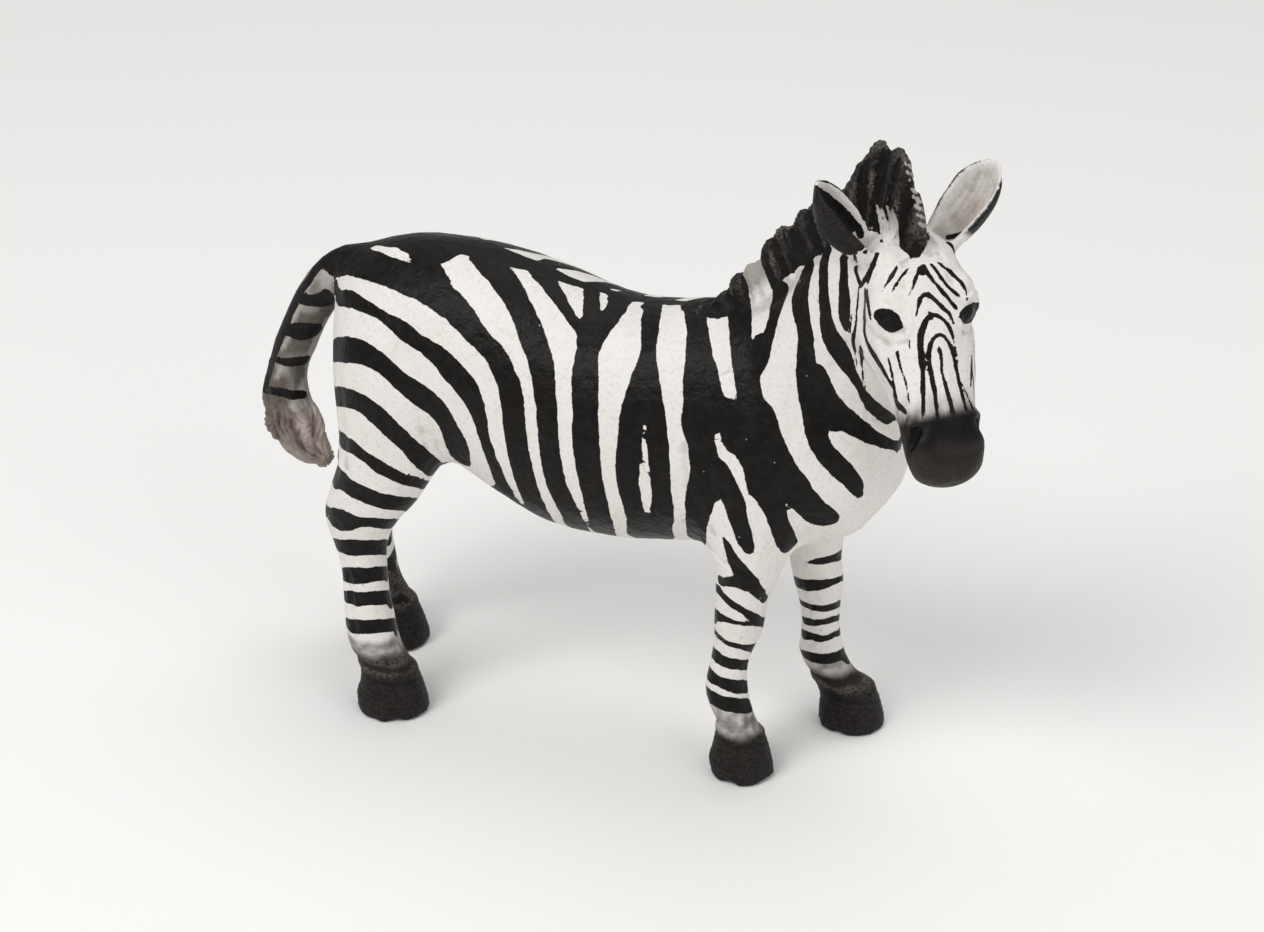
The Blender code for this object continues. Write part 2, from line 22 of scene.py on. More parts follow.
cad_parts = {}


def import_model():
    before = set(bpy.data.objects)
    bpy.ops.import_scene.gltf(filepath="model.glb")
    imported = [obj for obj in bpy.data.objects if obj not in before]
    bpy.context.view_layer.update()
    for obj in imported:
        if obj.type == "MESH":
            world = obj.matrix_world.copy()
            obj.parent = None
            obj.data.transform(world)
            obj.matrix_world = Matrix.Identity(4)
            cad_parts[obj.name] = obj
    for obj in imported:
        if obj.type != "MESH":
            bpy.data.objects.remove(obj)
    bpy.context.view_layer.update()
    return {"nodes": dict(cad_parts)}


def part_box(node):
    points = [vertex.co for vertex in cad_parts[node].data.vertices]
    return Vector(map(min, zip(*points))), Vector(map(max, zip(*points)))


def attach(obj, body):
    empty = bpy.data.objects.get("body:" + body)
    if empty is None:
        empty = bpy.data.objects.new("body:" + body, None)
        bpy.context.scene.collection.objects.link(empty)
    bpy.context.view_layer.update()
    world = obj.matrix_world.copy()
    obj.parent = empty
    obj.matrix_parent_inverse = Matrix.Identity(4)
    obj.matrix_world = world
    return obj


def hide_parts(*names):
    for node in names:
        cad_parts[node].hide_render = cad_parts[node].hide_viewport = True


log = logging.getLogger("zebra")

MM = 0.001

# The move from the sculptor's frame to the part's frame, in millimetres
FIGURE_SHIFT = np.array((-5.829, 3.889, -1.900))

Pixels = tuple[tuple[float, float], ...]
Point = tuple[float, float, float]
Floats = np.ndarray


def to_linear(colour: str) -> tuple[float, float, float, float]:
    """The linear colour of an sRGB hex value, with full opacity.

    Args:
        colour: Six hex digits after a hash sign.

    Returns:
        Red, green, blue and alpha.
    """
    shares = [int(colour[i : i + 2], 16) / 255 for i in (1, 3, 5)]
    linear = [s / 12.92 if s <= 0.04045 else ((s + 0.055) / 1.055) ** 2.4 for s in shares]
    return (linear[0], linear[1], linear[2], 1.0)


def smooth_step(low: float, high: float, value: Floats) -> Floats:
    """Zero below low, one above high, and a smooth rise between."""
    share = np.clip((value - low) / (high - low), 0.0, 1.0)
    return share * share * (3.0 - 2.0 * share)


def placed(points: object) -> Floats:
    """Points of the sculptor's frame in the part's frame, in millimetres."""
    return np.atleast_2d(np.array(points, dtype=float)) + FIGURE_SHIFT


def between_rows(wanted: Floats, known: Floats, rows: Floats) -> Floats:
    """Rows at the wanted places, from the rows at the known places on either side."""
    return np.stack([np.interp(wanted, known, rows[:, k]) for k in range(rows.shape[1])], axis=1)


def along_line(points: Floats, count: int) -> Floats:
    """As many points as count, evenly spaced along a run of points."""
    steps = np.linalg.norm(np.diff(points, axis=0), axis=1)
    travelled = np.concatenate(([0.0], np.cumsum(steps)))
    return between_rows(np.linspace(0.0, travelled[-1], count), travelled, points)


def rounded(points: Floats, rounds: int = 2) -> Floats:
    """A run of points with its corners cut, and its two ends kept."""
    for _ in range(rounds):
        near = 0.75 * points[:-1] + 0.25 * points[1:]
        far = 0.25 * points[:-1] + 0.75 * points[1:]
        inner = np.stack([near, far], axis=1).reshape(-1, points.shape[1])
        points = np.vstack([points[:1], inner[1:-1], points[-1:]])
    return points


def nearest_on_path(points: Floats, path: Floats) -> tuple[Floats, Floats]:
    """How far each point is from a path, and where along it the nearest place is.

    Args:
        points: Rows of three coordinates.
        path: Rows of three coordinates, one or more.

    Returns:
        The distances, and the places as an index into the path with its fraction.
    """
    best = np.linalg.norm(points - path[0], axis=1)
    place = np.zeros(len(points))
    for i, (start, end) in enumerate(zip(path, path[1:])):
        span = end - start
        share = np.clip((points - start) @ span / max(span @ span, 1e-12), 0.0, 1.0)
        away = np.linalg.norm(points - start - share[:, None] * span, axis=1)
        closer = away < best
        best = np.where(closer, away, best)
        place = np.where(closer, i + share, place)
    return best, place


class Grain:
    """Smooth random bumps in space, the same in each run.

    Args:
        size: The distance between bumps, in millimetres.
        seed: Which of the random fields it is.
    """

    CELLS = 32

    def __init__(self, size: float, seed: int) -> None:
        """Fills the lattice."""
        self.size = size
        self.lattice = np.random.default_rng(seed).uniform(-1.0, 1.0, (self.CELLS,) * 3)

    def at(self, points: Floats) -> Floats:
        """The field's value at each point, from -1 to 1."""
        scaled = points / self.size
        base = np.floor(scaled).astype(int)
        share = scaled - base
        share = share * share * (3.0 - 2.0 * share)
        total = np.zeros(len(points))
        for corner in range(8):
            bits = np.array([(corner >> k) & 1 for k in range(3)])
            cell = (base + bits) % self.CELLS
            weight = np.prod(np.where(bits, share, 1.0 - share), axis=1)
            total += weight * self.lattice[cell[:, 0], cell[:, 1], cell[:, 2]]
        return total


@dataclass(frozen=True)
class PhotoCamera:
    """The viewpoint of the photo, as fitted to the figure: an 85 mm lens on a frame 36 mm wide."""

    frame: tuple[float, float] = (1264.0, 932.0)
    lens: float = 85.0
    sensor: float = 36.0
    azimuth: float = math.radians(22.0)
    elevation: float = math.radians(27.0)
    aim: Point = (0.0, 0.0, 45.0)
    aim_pixel: tuple[float, float] = (590.0, 500.0)
    distance: float = 532.9

    def axes(self) -> tuple[Floats, Floats, Floats]:
        """Unit vectors to the camera's right, up and back."""
        a, e = self.azimuth, self.elevation
        back = np.array((math.sin(a) * math.cos(e), -math.cos(a) * math.cos(e), math.sin(e)))
        right = np.array((math.cos(a), math.sin(a), 0.0))
        return right, np.cross(back, right), back

    def focal_pixels(self) -> float:
        """The focal length in the photo's pixels."""
        return self.lens / self.sensor * self.frame[0]

    def centre(self) -> Floats:
        """The camera's place in the part's frame, in millimetres."""
        right, up, back = self.axes()
        shift_x = (self.aim_pixel[0] - self.frame[0] / 2) / self.focal_pixels()
        shift_y = (self.frame[1] / 2 - self.aim_pixel[1]) / self.focal_pixels()
        aim = placed(self.aim)[0]
        return aim + self.distance * (back - right * shift_x - up * shift_y)

    def ray(self, pixel: tuple[float, float]) -> tuple[Floats, Floats]:
        """The ray through a pixel: where it starts, and its direction."""
        right, up, back = self.axes()
        across = (pixel[0] - self.frame[0] / 2) / self.focal_pixels()
        rise = (self.frame[1] / 2 - pixel[1]) / self.focal_pixels()
        direction = right * across + up * rise - back
        return self.centre(), direction / np.linalg.norm(direction)

    def level_view(self) -> Floats:
        """The direction of view, laid level."""
        _, _, back = self.axes()
        flat = np.array((-back[0], -back[1], 0.0))
        return flat / np.linalg.norm(flat)

    def place(self) -> bpy.types.Object:
        """Makes the scene's camera at the photo's viewpoint."""
        data = bpy.data.cameras.new("camera")
        data.lens = self.lens
        data.sensor_width = self.sensor
        data.clip_start = 0.01
        data.clip_end = 20.0
        camera = bpy.data.objects.new("camera", data)
        bpy.context.scene.collection.objects.link(camera)
        camera.location = Vector(self.centre()) * MM
        camera.rotation_mode = "QUATERNION"
        _, _, back = self.axes()
        camera.rotation_quaternion = Vector(-back).to_track_quat("-Z", "Y")
        bpy.context.scene.camera = camera
        return camera


@dataclass(frozen=True)
class Median:
    """The middle plane of the animal, which turns with the neck and head.

    Each station is a place in sculptor's units and the heading there, in degrees from +X.
    """

    stations: tuple[tuple[float, float, float, float], ...] = (
        (-60.0, 0.0, 66.0, 0.0),
        (28.0, 0.0, 66.0, 0.0),
        (37.0, 0.0, 75.0, -3.0),
        (45.5, -1.5, 83.5, -15.0),
        (52.0, -4.0, 92.0, -30.0),
        (56.5, -6.5, 99.0, -42.0),
        (59.0, -7.8, 103.8, -49.0),
        (73.0, -23.8, 73.5, -49.0),
    )

    def mirrored(self, points: Floats) -> Floats:
        """Each point's mirror image through the middle plane nearest to it."""
        rows = np.array(self.stations)
        path = placed(rows[:, :3])
        _, place = nearest_on_path(points, path)
        index = np.arange(len(path))
        yaw = np.radians(np.interp(place, index, rows[:, 3]))
        centre = between_rows(place, index, path)
        side = np.stack([-np.sin(yaw), np.cos(yaw), np.zeros(len(yaw))], axis=1)
        across = np.sum((points - centre) * side, axis=1)
        return points - 2.0 * across[:, None] * side


@dataclass(frozen=True)
class Limb:
    """A leg or the tail, as the line down its middle: stations of height, x and y, from the top."""

    name: str
    stations: tuple[Point, ...]

    def middle(self, heights: Floats) -> Floats:
        """The middle line's x and y at each height, in the part's frame."""
        rows = np.array(sorted(self.stations))
        level = heights - FIGURE_SHIFT[2]
        x = np.interp(level, rows[:, 0], rows[:, 1]) + FIGURE_SHIFT[0]
        y = np.interp(level, rows[:, 0], rows[:, 2]) + FIGURE_SHIFT[1]
        return np.stack([x, y], axis=1)


RIGHT_HIND = Limb("right hind leg", (
    (64.0, -34.0, -9.3), (48.5, -35.0, -11.2), (39.0, -39.3, -12.2), (31.0, -39.3, -12.7),
    (19.4, -37.9, -13.7), (9.0, -34.0, -13.9)))
LEFT_HIND = Limb("left hind leg", (
    (64.0, -36.0, 9.3), (48.5, -41.5, 10.3), (38.5, -48.6, 10.2), (30.5, -49.8, 10.0),
    (19.0, -49.2, 9.6), (9.0, -45.8, 9.3)))
RIGHT_FORE = Limb("right fore leg", (
    (64.0, 32.5, -9.0), (48.0, 34.0, -10.5), (37.3, 32.7, -10.4), (26.9, 31.1, -10.3),
    (16.0, 30.8, -10.2), (9.0, 32.8, -10.2)))
LEFT_FORE = Limb("left fore leg", (
    (64.0, 35.0, 9.0), (48.0, 38.3, 10.7), (35.5, 39.0, 11.5), (25.3, 39.8, 12.5),
    (14.0, 40.9, 13.2), (8.0, 44.2, 13.2)))
TAIL = Limb("tail", (
    (84.0, -44.0, 0.0), (77.5, -52.0, 0.0), (70.5, -55.8, 0.0), (63.5, -58.9, 0.0),
    (56.0, -60.4, 0.0), (50.0, -59.0, 0.0), (45.5, -56.0, 0.0), (42.6, -51.8, 0.0)))


class Ink(Enum):
    """What a stroke does to the pattern."""

    BLACK = "lays black"
    WHITE = "leaves the coat bare"


class Wrap(Enum):
    """How a stroke goes on where the photo doesn't show it."""

    NONE = "it ends where it is drawn"
    BELLY = "it runs on below the belly and thins out"
    RUMP = "it runs on round the rump"
    RING = "it closes round its limb"


@dataclass(frozen=True)
class Stroke:
    """A stroke of paint between two edges, in the photo's pixels, both from the same end."""

    name: str
    edge: Pixels
    other: Pixels
    ink: Ink = Ink.BLACK
    mirrored: bool = True
    wrap: Wrap = Wrap.NONE
    limb: Limb | None = None


def line(name: str, points: tuple[Point, ...], **options: object) -> Stroke:
    """A thin stroke from its middle line: each point is x, y and width, in the photo's pixels."""
    rows = np.array(points)
    step = np.gradient(rows[:, :2], axis=0)
    step /= np.linalg.norm(step, axis=1)[:, None]
    across = np.stack([-step[:, 1], step[:, 0]], axis=1) * rows[:, 2:] / 2
    edge = tuple(map(tuple, rows[:, :2] - across))
    other = tuple(map(tuple, rows[:, :2] + across))
    return Stroke(name, edge, other, **options)


def ring(name: str, limb: Limb, edge: Pixels, other: Pixels, mirrored: bool = False) -> Stroke:
    """A band of paint that closes round a limb."""
    return Stroke(name, edge, other, mirrored=mirrored, wrap=Wrap.RING, limb=limb)


TRUNK_STROKES = (
    Stroke("spine",
           ((345, 250), (366, 238), (400, 232.5), (440, 232.5), (461, 234), (475, 240), (490, 244),
            (505, 250), (520, 255), (534, 261), (552, 268), (566, 276), (582, 281), (594, 286), (610, 290),
            (640, 296), (680, 297.5), (728, 296)),
           ((352, 262), (368, 245), (395, 248), (426, 246), (440, 248), (455, 251), (470, 254), (494, 261),
            (515, 268), (531, 271), (552, 278), (567, 284), (585, 288), (599, 291), (612, 296), (633, 300),
            (646, 303), (684, 302), (706, 303), (728, 303)), mirrored=False),
    Stroke("croup",
           ((352, 256), (370, 247), (385, 253), (398, 260), (415, 263), (432, 270), (450, 285), (463, 295),
            (470, 305), (480, 318), (489, 335), (506, 350), (519, 378), (525, 404), (526, 437), (534, 476),
            (541, 502), (553, 524)),
           ((346, 272), (363, 277), (376, 283), (392, 289), (410, 297), (427, 306), (443, 317), (458, 332),
            (472, 345), (485, 357), (493, 375), (500, 393), (504, 437), (513, 476), (528, 508)),
           wrap=Wrap.BELLY),
    Stroke("tail root", ((366, 238), (352, 242), (338, 247), (325, 253), (314, 262)),
           ((372, 262), (352, 270), (338, 269), (326, 266), (316, 267))),
    Stroke("rump top", ((345, 250), (366, 238), (400, 232.5), (440, 232.5), (461, 234)),
           ((352, 262), (368, 245), (395, 248), (426, 246), (440, 248))),
    Stroke("croup bridge", ((405, 250), (415, 262), (430, 282)), ((426, 246), (438, 263), (450, 285))),
    Stroke("second rump stripe",
           ((342, 291), (349, 288), (360, 295), (376, 305), (393, 316), (411, 325), (422, 337), (439, 346),
            (459, 362), (478, 385), (485, 404), (488, 428), (492, 454), (504, 480), (514, 502)),
           ((338, 306), (350, 308), (366, 313), (376, 318), (387, 327), (400, 339), (424, 353), (441, 374),
            (461, 396), (472, 415), (483, 445), (491, 467), (500, 487)), wrap=Wrap.RUMP),
    Stroke("third rump stripe",
           ((331, 341), (340, 336), (348, 336), (368, 341), (389, 359), (411, 378), (433, 391), (448, 406),
            (459, 428), (467, 441), (470, 460)),
           ((331, 362), (350, 363), (368, 366), (385, 378), (407, 400), (428, 413), (438, 424), (444, 440),
            (451, 456)), wrap=Wrap.RUMP),
    Stroke("fourth rump stripe",
           ((335, 387), (348, 387), (374, 400), (392, 419), (411, 437), (422, 446), (432, 455), (442, 466),
            (454, 469.5)),
           ((336, 405), (357, 409), (376, 426), (392, 441), (407, 454), (412, 462), (420, 469.6),
            (430, 475.7), (445, 477)), wrap=Wrap.RUMP),
    Stroke("fifth rump stripe",
           ((341, 431), (354, 442), (363, 451), (373, 456), (383, 462), (395, 469.6), (407, 475),
            (420, 478), (428, 481), (436, 485)),
           ((344, 450), (350, 453.5), (356, 455), (366, 462.4), (377, 472.7), (389, 479.3), (407, 486),
            (428, 490)), wrap=Wrap.RUMP),
    ring("gaskin stripe", RIGHT_HIND,
         ((340, 470), (348, 476), (354, 482), (363, 486), (373, 490), (385, 494.6), (400, 497), (420, 498)),
         ((333, 484), (340, 487), (345, 493), (356, 499), (371, 505), (385, 509), (406, 511)),
         mirrored=True),
    ring("hock stripe", RIGHT_HIND,
         ((326, 505), (333, 510), (345, 511), (351, 513.5), (361, 518.6), (381, 519), (399, 518.6)),
         ((328, 517), (333, 528.8), (346, 528.8), (355, 525.7), (366, 526), (379, 528.8), (390, 528.8)),
         mirrored=True),
    Stroke("loin stripe",
           ((470, 254), (485, 272), (498, 286), (507, 297), (514, 315), (520, 335), (527, 350), (534, 380),
            (537, 411), (539, 445), (544, 476), (554, 500), (565, 521)),
           ((494, 261), (504, 270), (515, 278), (521, 288), (527, 303), (533, 316), (541, 331), (548, 350),
            (554, 372), (556, 409), (558, 437), (563, 480), (573, 502), (588, 530)), wrap=Wrap.BELLY),
    Stroke("fork stem",
           ((577, 331), (577, 350), (572, 370), (571, 385), (573, 410), (571, 430), (573, 450), (578, 480),
            (584, 502), (590, 528)),
           ((607, 336), (599, 351), (597, 360), (599, 380), (598, 400), (599, 437), (602, 480), (610, 510),
            (614, 530)), wrap=Wrap.BELLY),
    Stroke("fork rear arm", ((531, 271), (540, 280), (550, 297), (558, 308), (568, 322), (578, 336)),
           ((552, 278), (563, 292), (571, 306), (577, 316), (587, 326))),
    Stroke("fork middle arm", ((584, 287), (583, 300), (583, 318), (581, 338)),
           ((599, 291), (600, 303), (602, 312), (604, 332))),
    Stroke("fork front arm", ((612, 296), (602, 312), (595, 330)), ((633, 300), (620, 320), (606, 338))),
    Stroke("barrel stripe",
           ((646, 303), (641, 317), (642, 330), (641, 353), (629, 381), (618, 420), (617, 440), (616, 460),
            (615, 474), (618, 486), (621.5, 498), (625.5, 514), (630, 527)),
           ((663, 303), (660, 320), (658, 338), (655, 353), (659, 381), (665, 418), (668.6, 438),
            (670, 468), (670, 488), (672, 500), (675, 514), (672.6, 528), (671, 539)), wrap=Wrap.BELLY),
    Stroke("barrel sliver",
           ((643, 426), (642.5, 440), (641, 455), (639.5, 470), (639.5, 485), (641, 500), (645, 513)),
           ((646, 426), (646.5, 440), (647.5, 455), (649.5, 470), (651, 485), (651.5, 500), (650, 513)),
           ink=Ink.WHITE, mirrored=False),
    Stroke("girth stripe",
           ((684, 303), (685, 318), (688, 330), (684, 362), (683, 390), (683, 411), (680, 424),
            (687.6, 442), (690, 463), (690, 477), (685, 500), (686, 518.6), (690, 536)),
           ((706, 303), (706, 323), (711, 340), (711, 349), (719, 378), (724, 401), (716, 425),
            (713.5, 436), (717, 452), (722, 475), (714, 500), (706, 525), (704, 538)), wrap=Wrap.BELLY),
    Stroke("girth branch", ((708, 478), (716, 494), (724.4, 503.7), (730, 522), (737, 542.7), (743, 551)),
           ((728, 466), (733, 475), (740, 489), (744.5, 500), (745.6, 514), (750.8, 530), (754, 546)),
           mirrored=False),
    Stroke("shoulder stripe",
           ((728, 303), (728, 322), (730, 350), (734, 378), (738, 400), (722, 428), (727, 439), (735, 453),
            (742, 466), (745, 477), (747, 490), (754, 496), (762, 507)),
           ((751, 300), (752, 320), (752, 345), (759, 375), (762, 392), (766, 407), (770, 424), (774, 432),
            (780, 445), (784, 460), (786, 475), (785, 488), (785, 500))),
    Stroke("shoulder foot", ((754, 496), (762, 507), (769, 524), (773, 539), (779, 549)),
           ((785, 492), (786, 508), (789, 522), (795, 532), (798, 541)), mirrored=False),
    Stroke("shoulder joint", ((715, 414), (718, 426), (722, 440)), ((742, 410), (747, 425), (752, 440))),
    Stroke("shoulder arm",
           ((762, 400), (770, 425), (779, 443), (785, 455), (793, 466), (800, 473), (806, 483), (812, 490),
            (817, 498), (828, 506), (833, 511)),
           ((752, 440), (760, 462), (772, 482), (785, 498), (794, 507), (804, 517), (813, 525),
            (823, 525))),
    Stroke("gap over the shoulder joint", ((707, 318), (710, 336), (711, 349), (720, 376), (737, 402)),
           ((728, 318), (729, 336), (730, 350), (734, 380), (738, 402)), ink=Ink.WHITE),
    Stroke("rump sliver", ((370, 246), (383, 247), (396, 249), (406, 254)),
           ((371, 247), (385, 252), (397, 258), (406, 260)), ink=Ink.WHITE),
    Stroke("neck root stripe", ((773, 292), (770, 315), (764, 333), (758, 343), (750, 352)),
           ((789, 290), (783, 306), (778, 320), (773, 341), (768, 360))),
    Stroke("neck root base", ((750, 348), (752, 362), (756, 375)), ((772, 345), (768, 362), (759, 380))),
    Stroke("first neck stripe",
           ((806, 264), (799, 279), (793, 292), (792, 308.5), (797, 324.5), (798, 338), (797, 356),
            (796, 384), (799, 399), (802, 415), (806, 439), (813, 454), (824, 468), (842.6, 485),
            (856, 498)),
           ((814, 266), (809, 283), (808, 299), (809, 313), (813, 330), (814, 345), (816, 364), (820, 385),
            (822, 405), (826, 425), (830, 443), (841.5, 455.4), (855, 467), (863, 481), (862, 490))),
    Stroke("first neck branch",
           ((814, 362), (821, 377), (828, 389), (839, 401), (855, 414), (870, 427), (885, 437), (899, 442)),
           ((812, 390), (820, 415), (829, 433), (839, 429), (855, 438), (870, 444), (888, 450),
            (900, 450))),
    Stroke("second neck stripe",
           ((824, 252), (819, 262), (819, 288), (820, 309), (821, 327), (824, 344), (833, 357), (841, 370),
            (851, 380), (859, 391), (864, 403), (871, 414), (885, 424), (896, 429)),
           ((832, 247), (828, 261), (828, 281), (829, 299), (831, 315), (836, 330), (848, 346), (851, 357),
            (855, 370), (860, 382), (869, 396), (880, 405), (890, 411), (900, 419))),
    Stroke("third neck stripe",
           ((841, 246), (840, 267), (839, 290), (838, 310), (839, 320), (842, 327), (846, 333)),
           ((847, 246), (847, 264), (849, 287), (851, 306), (849.5, 318), (847.5, 328), (846.5, 333))),
)

HEAD_STROKES = (
    line("jowl line upper", ((854.6, 250, 3), (855, 269, 3), (858, 279, 3.5), (861, 286, 3))),
    line("cheek to ear", ((877, 254, 5), (871, 269, 4.5), (865, 279, 3.5), (861, 286, 3))),
    line("cheek to ear second", ((874.7, 264, 3), (871, 273, 3), (868, 282, 2))),
    line("jowl line",
         ((859, 288, 1.5), (857.5, 304, 1.8), (856, 321, 2), (855, 333, 2), (852.5, 340, 3),
          (854.6, 350, 2), (857, 366, 1.2))),
    line("jowl line rear", ((853.5, 308, 1), (851, 322, 1.5), (849, 336, 1))),
    line("cheek line",
         ((865, 289, 1.5), (865, 304, 1.8), (864, 327, 2.2), (865, 338, 2.8), (871, 351, 3.6),
          (880, 364, 4.4), (887, 377, 3.2), (895, 391, 2))),
    line("temple line", ((866.7, 293, 2.6), (868.4, 306, 2.6), (871, 320, 1.5))),
    line("jaw line", ((861.5, 349, 2), (861, 361, 2.4), (863, 378, 2), (867, 392, 1.4))),
    line("cheek bone line",
         ((886.8, 355, 2.2), (891, 367, 3.2), (893, 382, 3), (895.4, 396, 3), (898, 407, 2.6))),
    line("nose side line",
         ((897, 352, 2.4), (900, 367, 2.8), (906, 381, 2.4), (908, 396, 2.4), (911, 408, 2))),
    line("jaw wedge", ((881, 387, 5), (887, 393, 6), (894, 400, 4.5), (905, 411, 4))),
    line("forehead outer", ((904.6, 254.5, 4.5), (895, 271, 4), (887, 283, 3), (881.6, 292, 1.4)),
         mirrored=False),
    line("forehead inner", ((913.5, 260, 3.2), (903, 275, 3.2), (895, 286, 3), (890.8, 295, 2)),
         mirrored=False),
    line("first arch", ((908, 297, 2), (912.7, 288, 3), (916, 277, 3.6), (920, 268, 5), (922, 261, 2)),
         mirrored=False),
    line("first arch right",
         ((922, 261, 2), (925, 269, 5), (930, 277, 4.2), (940, 289, 4), (948, 298, 4), (956, 308, 4)),
         mirrored=False),
    line("first arch fill", ((922, 266, 3), (922, 272, 8)), mirrored=False),
    line("brow outer",
         ((934, 258.6, 2.2), (942, 265.7, 3.2), (952, 273, 3.4), (961, 282, 3.6), (966.6, 291, 3.4),
          (967, 300, 2)), mirrored=False),
    line("brow inner",
         ((931.6, 264.5, 3), (938.7, 274, 4), (946, 284.6, 3), (954, 292, 4), (960.5, 296.5, 3)),
         mirrored=False),
    line("second arch",
         ((915.7, 317.6, 1.6), (919, 306, 3.4), (919.4, 298, 4), (926.3, 292.6, 4.4), (931, 296.5, 4.4),
          (940, 305, 3.6), (950.5, 314.5, 3), (953.6, 323, 2)), mirrored=False),
    line("third arch",
         ((923, 419, 3.6), (923.3, 388, 4), (922.7, 365, 4), (920, 347, 4.4), (920.6, 333, 4.4),
          (924, 324.5, 4.6), (929.5, 313.5, 5), (940, 316.5, 4), (948, 324, 3.4), (953, 335.4, 3),
          (956.5, 353, 2), (957.8, 362, 1.2)), mirrored=False),
    line("third arch fill", ((929, 313, 3), (930.5, 317.5, 6)), mirrored=False),
    line("fourth arch",
         ((937.5, 419, 4), (936, 400, 4.4), (932.8, 382.6, 4.4), (928.4, 360, 4.6), (928.6, 348, 4.4),
          (932.4, 339.5, 4), (940, 333, 3), (946, 338, 3), (951.5, 347.5, 3), (956.4, 368.4, 3),
          (961, 391, 3), (966, 409, 3.4)), mirrored=False),
    line("nose line", ((938.7, 348, 3.4), (942, 359, 4), (941, 371, 3.6), (947, 388.5, 4), (952.9, 412, 5)),
         mirrored=False),
    line("far cheek line", ((971.7, 355, 1.2), (971.4, 370, 1.8), (970.6, 386, 1.4)), mirrored=False),
    line("far nose line", ((962.3, 384, 1), (968, 398, 2), (974, 411, 2.4)), mirrored=False),
    # Painted shadow: black laid on the head below the near ear, where the ear's opening lies in shade
    line("notch below the near ear", ((852, 214, 6), (858, 226, 8), (862, 238, 8), (865, 252, 5)),
         mirrored=False),
    line("face tick", ((909.6, 341, 1.2), (909.4, 345, 1.8), (910.6, 350, 1)), mirrored=False),
    Stroke("near eye", ((875, 311), (884, 309), (893, 310), (899, 317), (904, 327)),
           ((875, 312), (878, 322), (886, 333), (894, 329.5), (904, 327.5)), mirrored=False),
    Stroke("far eye", ((958, 317), (961, 308.5), (968, 305), (978, 302)),
           ((958, 318), (963.5, 322.5), (970.6, 323.5), (976.5, 316.5)), mirrored=False),
)

HIND_BANDS = (
    ring("first hind band", RIGHT_HIND, ((334, 538), (340, 540), (360, 540), (389, 540)),
         ((338, 551), (351, 556.4), (369, 555), (386, 555)), mirrored=True),
    ring("second hind band", RIGHT_HIND, ((341.6, 568), (350, 566.8), (367, 568), (390, 566)),
         ((344, 581), (352.7, 584.5), (372, 583), (391, 578)), mirrored=True),
    ring("third hind band", RIGHT_HIND, ((343.5, 590.4), (362, 592), (379, 591), (396, 589)),
         ((344, 601), (355, 606.7), (372, 605.4), (397, 604)), mirrored=True),
    Stroke("far hind shin", ((396, 566), (402, 592), (411, 604), (419, 622), (424, 640)),
           ((392, 574), (396, 605), (402, 625), (408, 640), (412, 652)), mirrored=False, limb=LEFT_HIND),
    ring("fourth hind band", RIGHT_HIND, ((344, 618), (358, 620), (379, 619), (400, 617.8)),
         ((345, 629.6), (354, 634.5), (379, 633), (400, 630)), mirrored=True),
)

NEAR_FORE_BANDS = (
    Stroke("forearm patch",
           ((725, 537), (731, 545), (737, 555), (748, 568), (755, 576), (763, 588), (768, 597)),
           ((722, 537), (724, 547), (727, 557), (733, 574), (742, 586), (752, 596), (763, 603)),
           mirrored=False),
    Stroke("forearm hook", ((719, 575), (726, 579), (733, 575), (742, 572)),
           ((722, 586), (730, 587), (738, 587), (748, 592)), mirrored=False),
    ring("first fore band", RIGHT_FORE,
         ((715.6, 580.7), (723.5, 592.6), (732.4, 601.4), (747, 609), (766, 619)),
         ((715, 589), (722, 600), (730, 607), (743, 614), (750, 622), (762, 626))),
    ring("second fore band", RIGHT_FORE, ((714.7, 606.4), (722.5, 615), (737, 622), (750, 621), (764, 620)),
         ((712.7, 619), (722, 622), (735, 624.5), (750, 626), (762, 626.5))),
    ring("third fore band", RIGHT_FORE,
         ((712.7, 626), (722.5, 639), (737, 643.8), (753, 644.8), (761, 640)),
         ((712.7, 631), (721.6, 643), (737, 649), (754, 651.7), (758, 646))),
    ring("fourth fore band", RIGHT_FORE, ((712.7, 644), (719.6, 654.7), (737, 659.6), (752, 661.6)),
         ((712.7, 657.6), (719.6, 665.5), (735.4, 670.5), (751, 668.5))),
    ring("fifth fore band", RIGHT_FORE, ((709.7, 666), (715.6, 675.4), (733.4, 680.3), (751, 680.3)),
         ((708.7, 681), (721.6, 689), (737, 694), (750.6, 692))),
    ring("sixth fore band", RIGHT_FORE, ((705, 683), (711.7, 691), (729.4, 698), (751, 699)),
         ((705, 699), (717.6, 709), (735.4, 714), (750, 713))),
)

FAR_FORE_BANDS = (
    ring("far forearm band", LEFT_FORE, ((806, 562), (819, 558), (832, 555.3), (841.5, 549.6), (847, 543)),
         ((806, 563.4), (820, 565), (836, 562), (846, 556.5))),
    ring("first far band", LEFT_FORE,
         ((792.6, 575), (800.5, 579.7), (818, 580.3), (840, 576.8), (847, 571)),
         ((793.5, 584.7), (807.4, 592.6), (826, 588.6), (847, 579))),
    ring("second far band", LEFT_FORE,
         ((796.5, 597), (808, 604.4), (828, 605.4), (842, 599.5), (848, 591.6)),
         ((800.5, 603.4), (810, 610.3), (824, 612.3), (838, 608.3), (848, 597.5))),
    ring("third far band", LEFT_FORE, ((803.4, 616), (812, 620), (828, 618), (844, 612.3)),
         ((804.4, 624), (812, 627), (828, 624), (844, 618))),
    ring("fourth far band", LEFT_FORE, ((803.4, 629), (818, 635), (826, 636), (844, 626)),
         ((804.4, 639), (821, 643), (832, 639), (845, 632))),
    ring("fifth far band", LEFT_FORE, ((802.4, 649), (812, 652.7), (828, 654.7), (848, 646)),
         ((803.4, 656.7), (816, 664.6), (832, 663.6), (849, 657.6))),
)

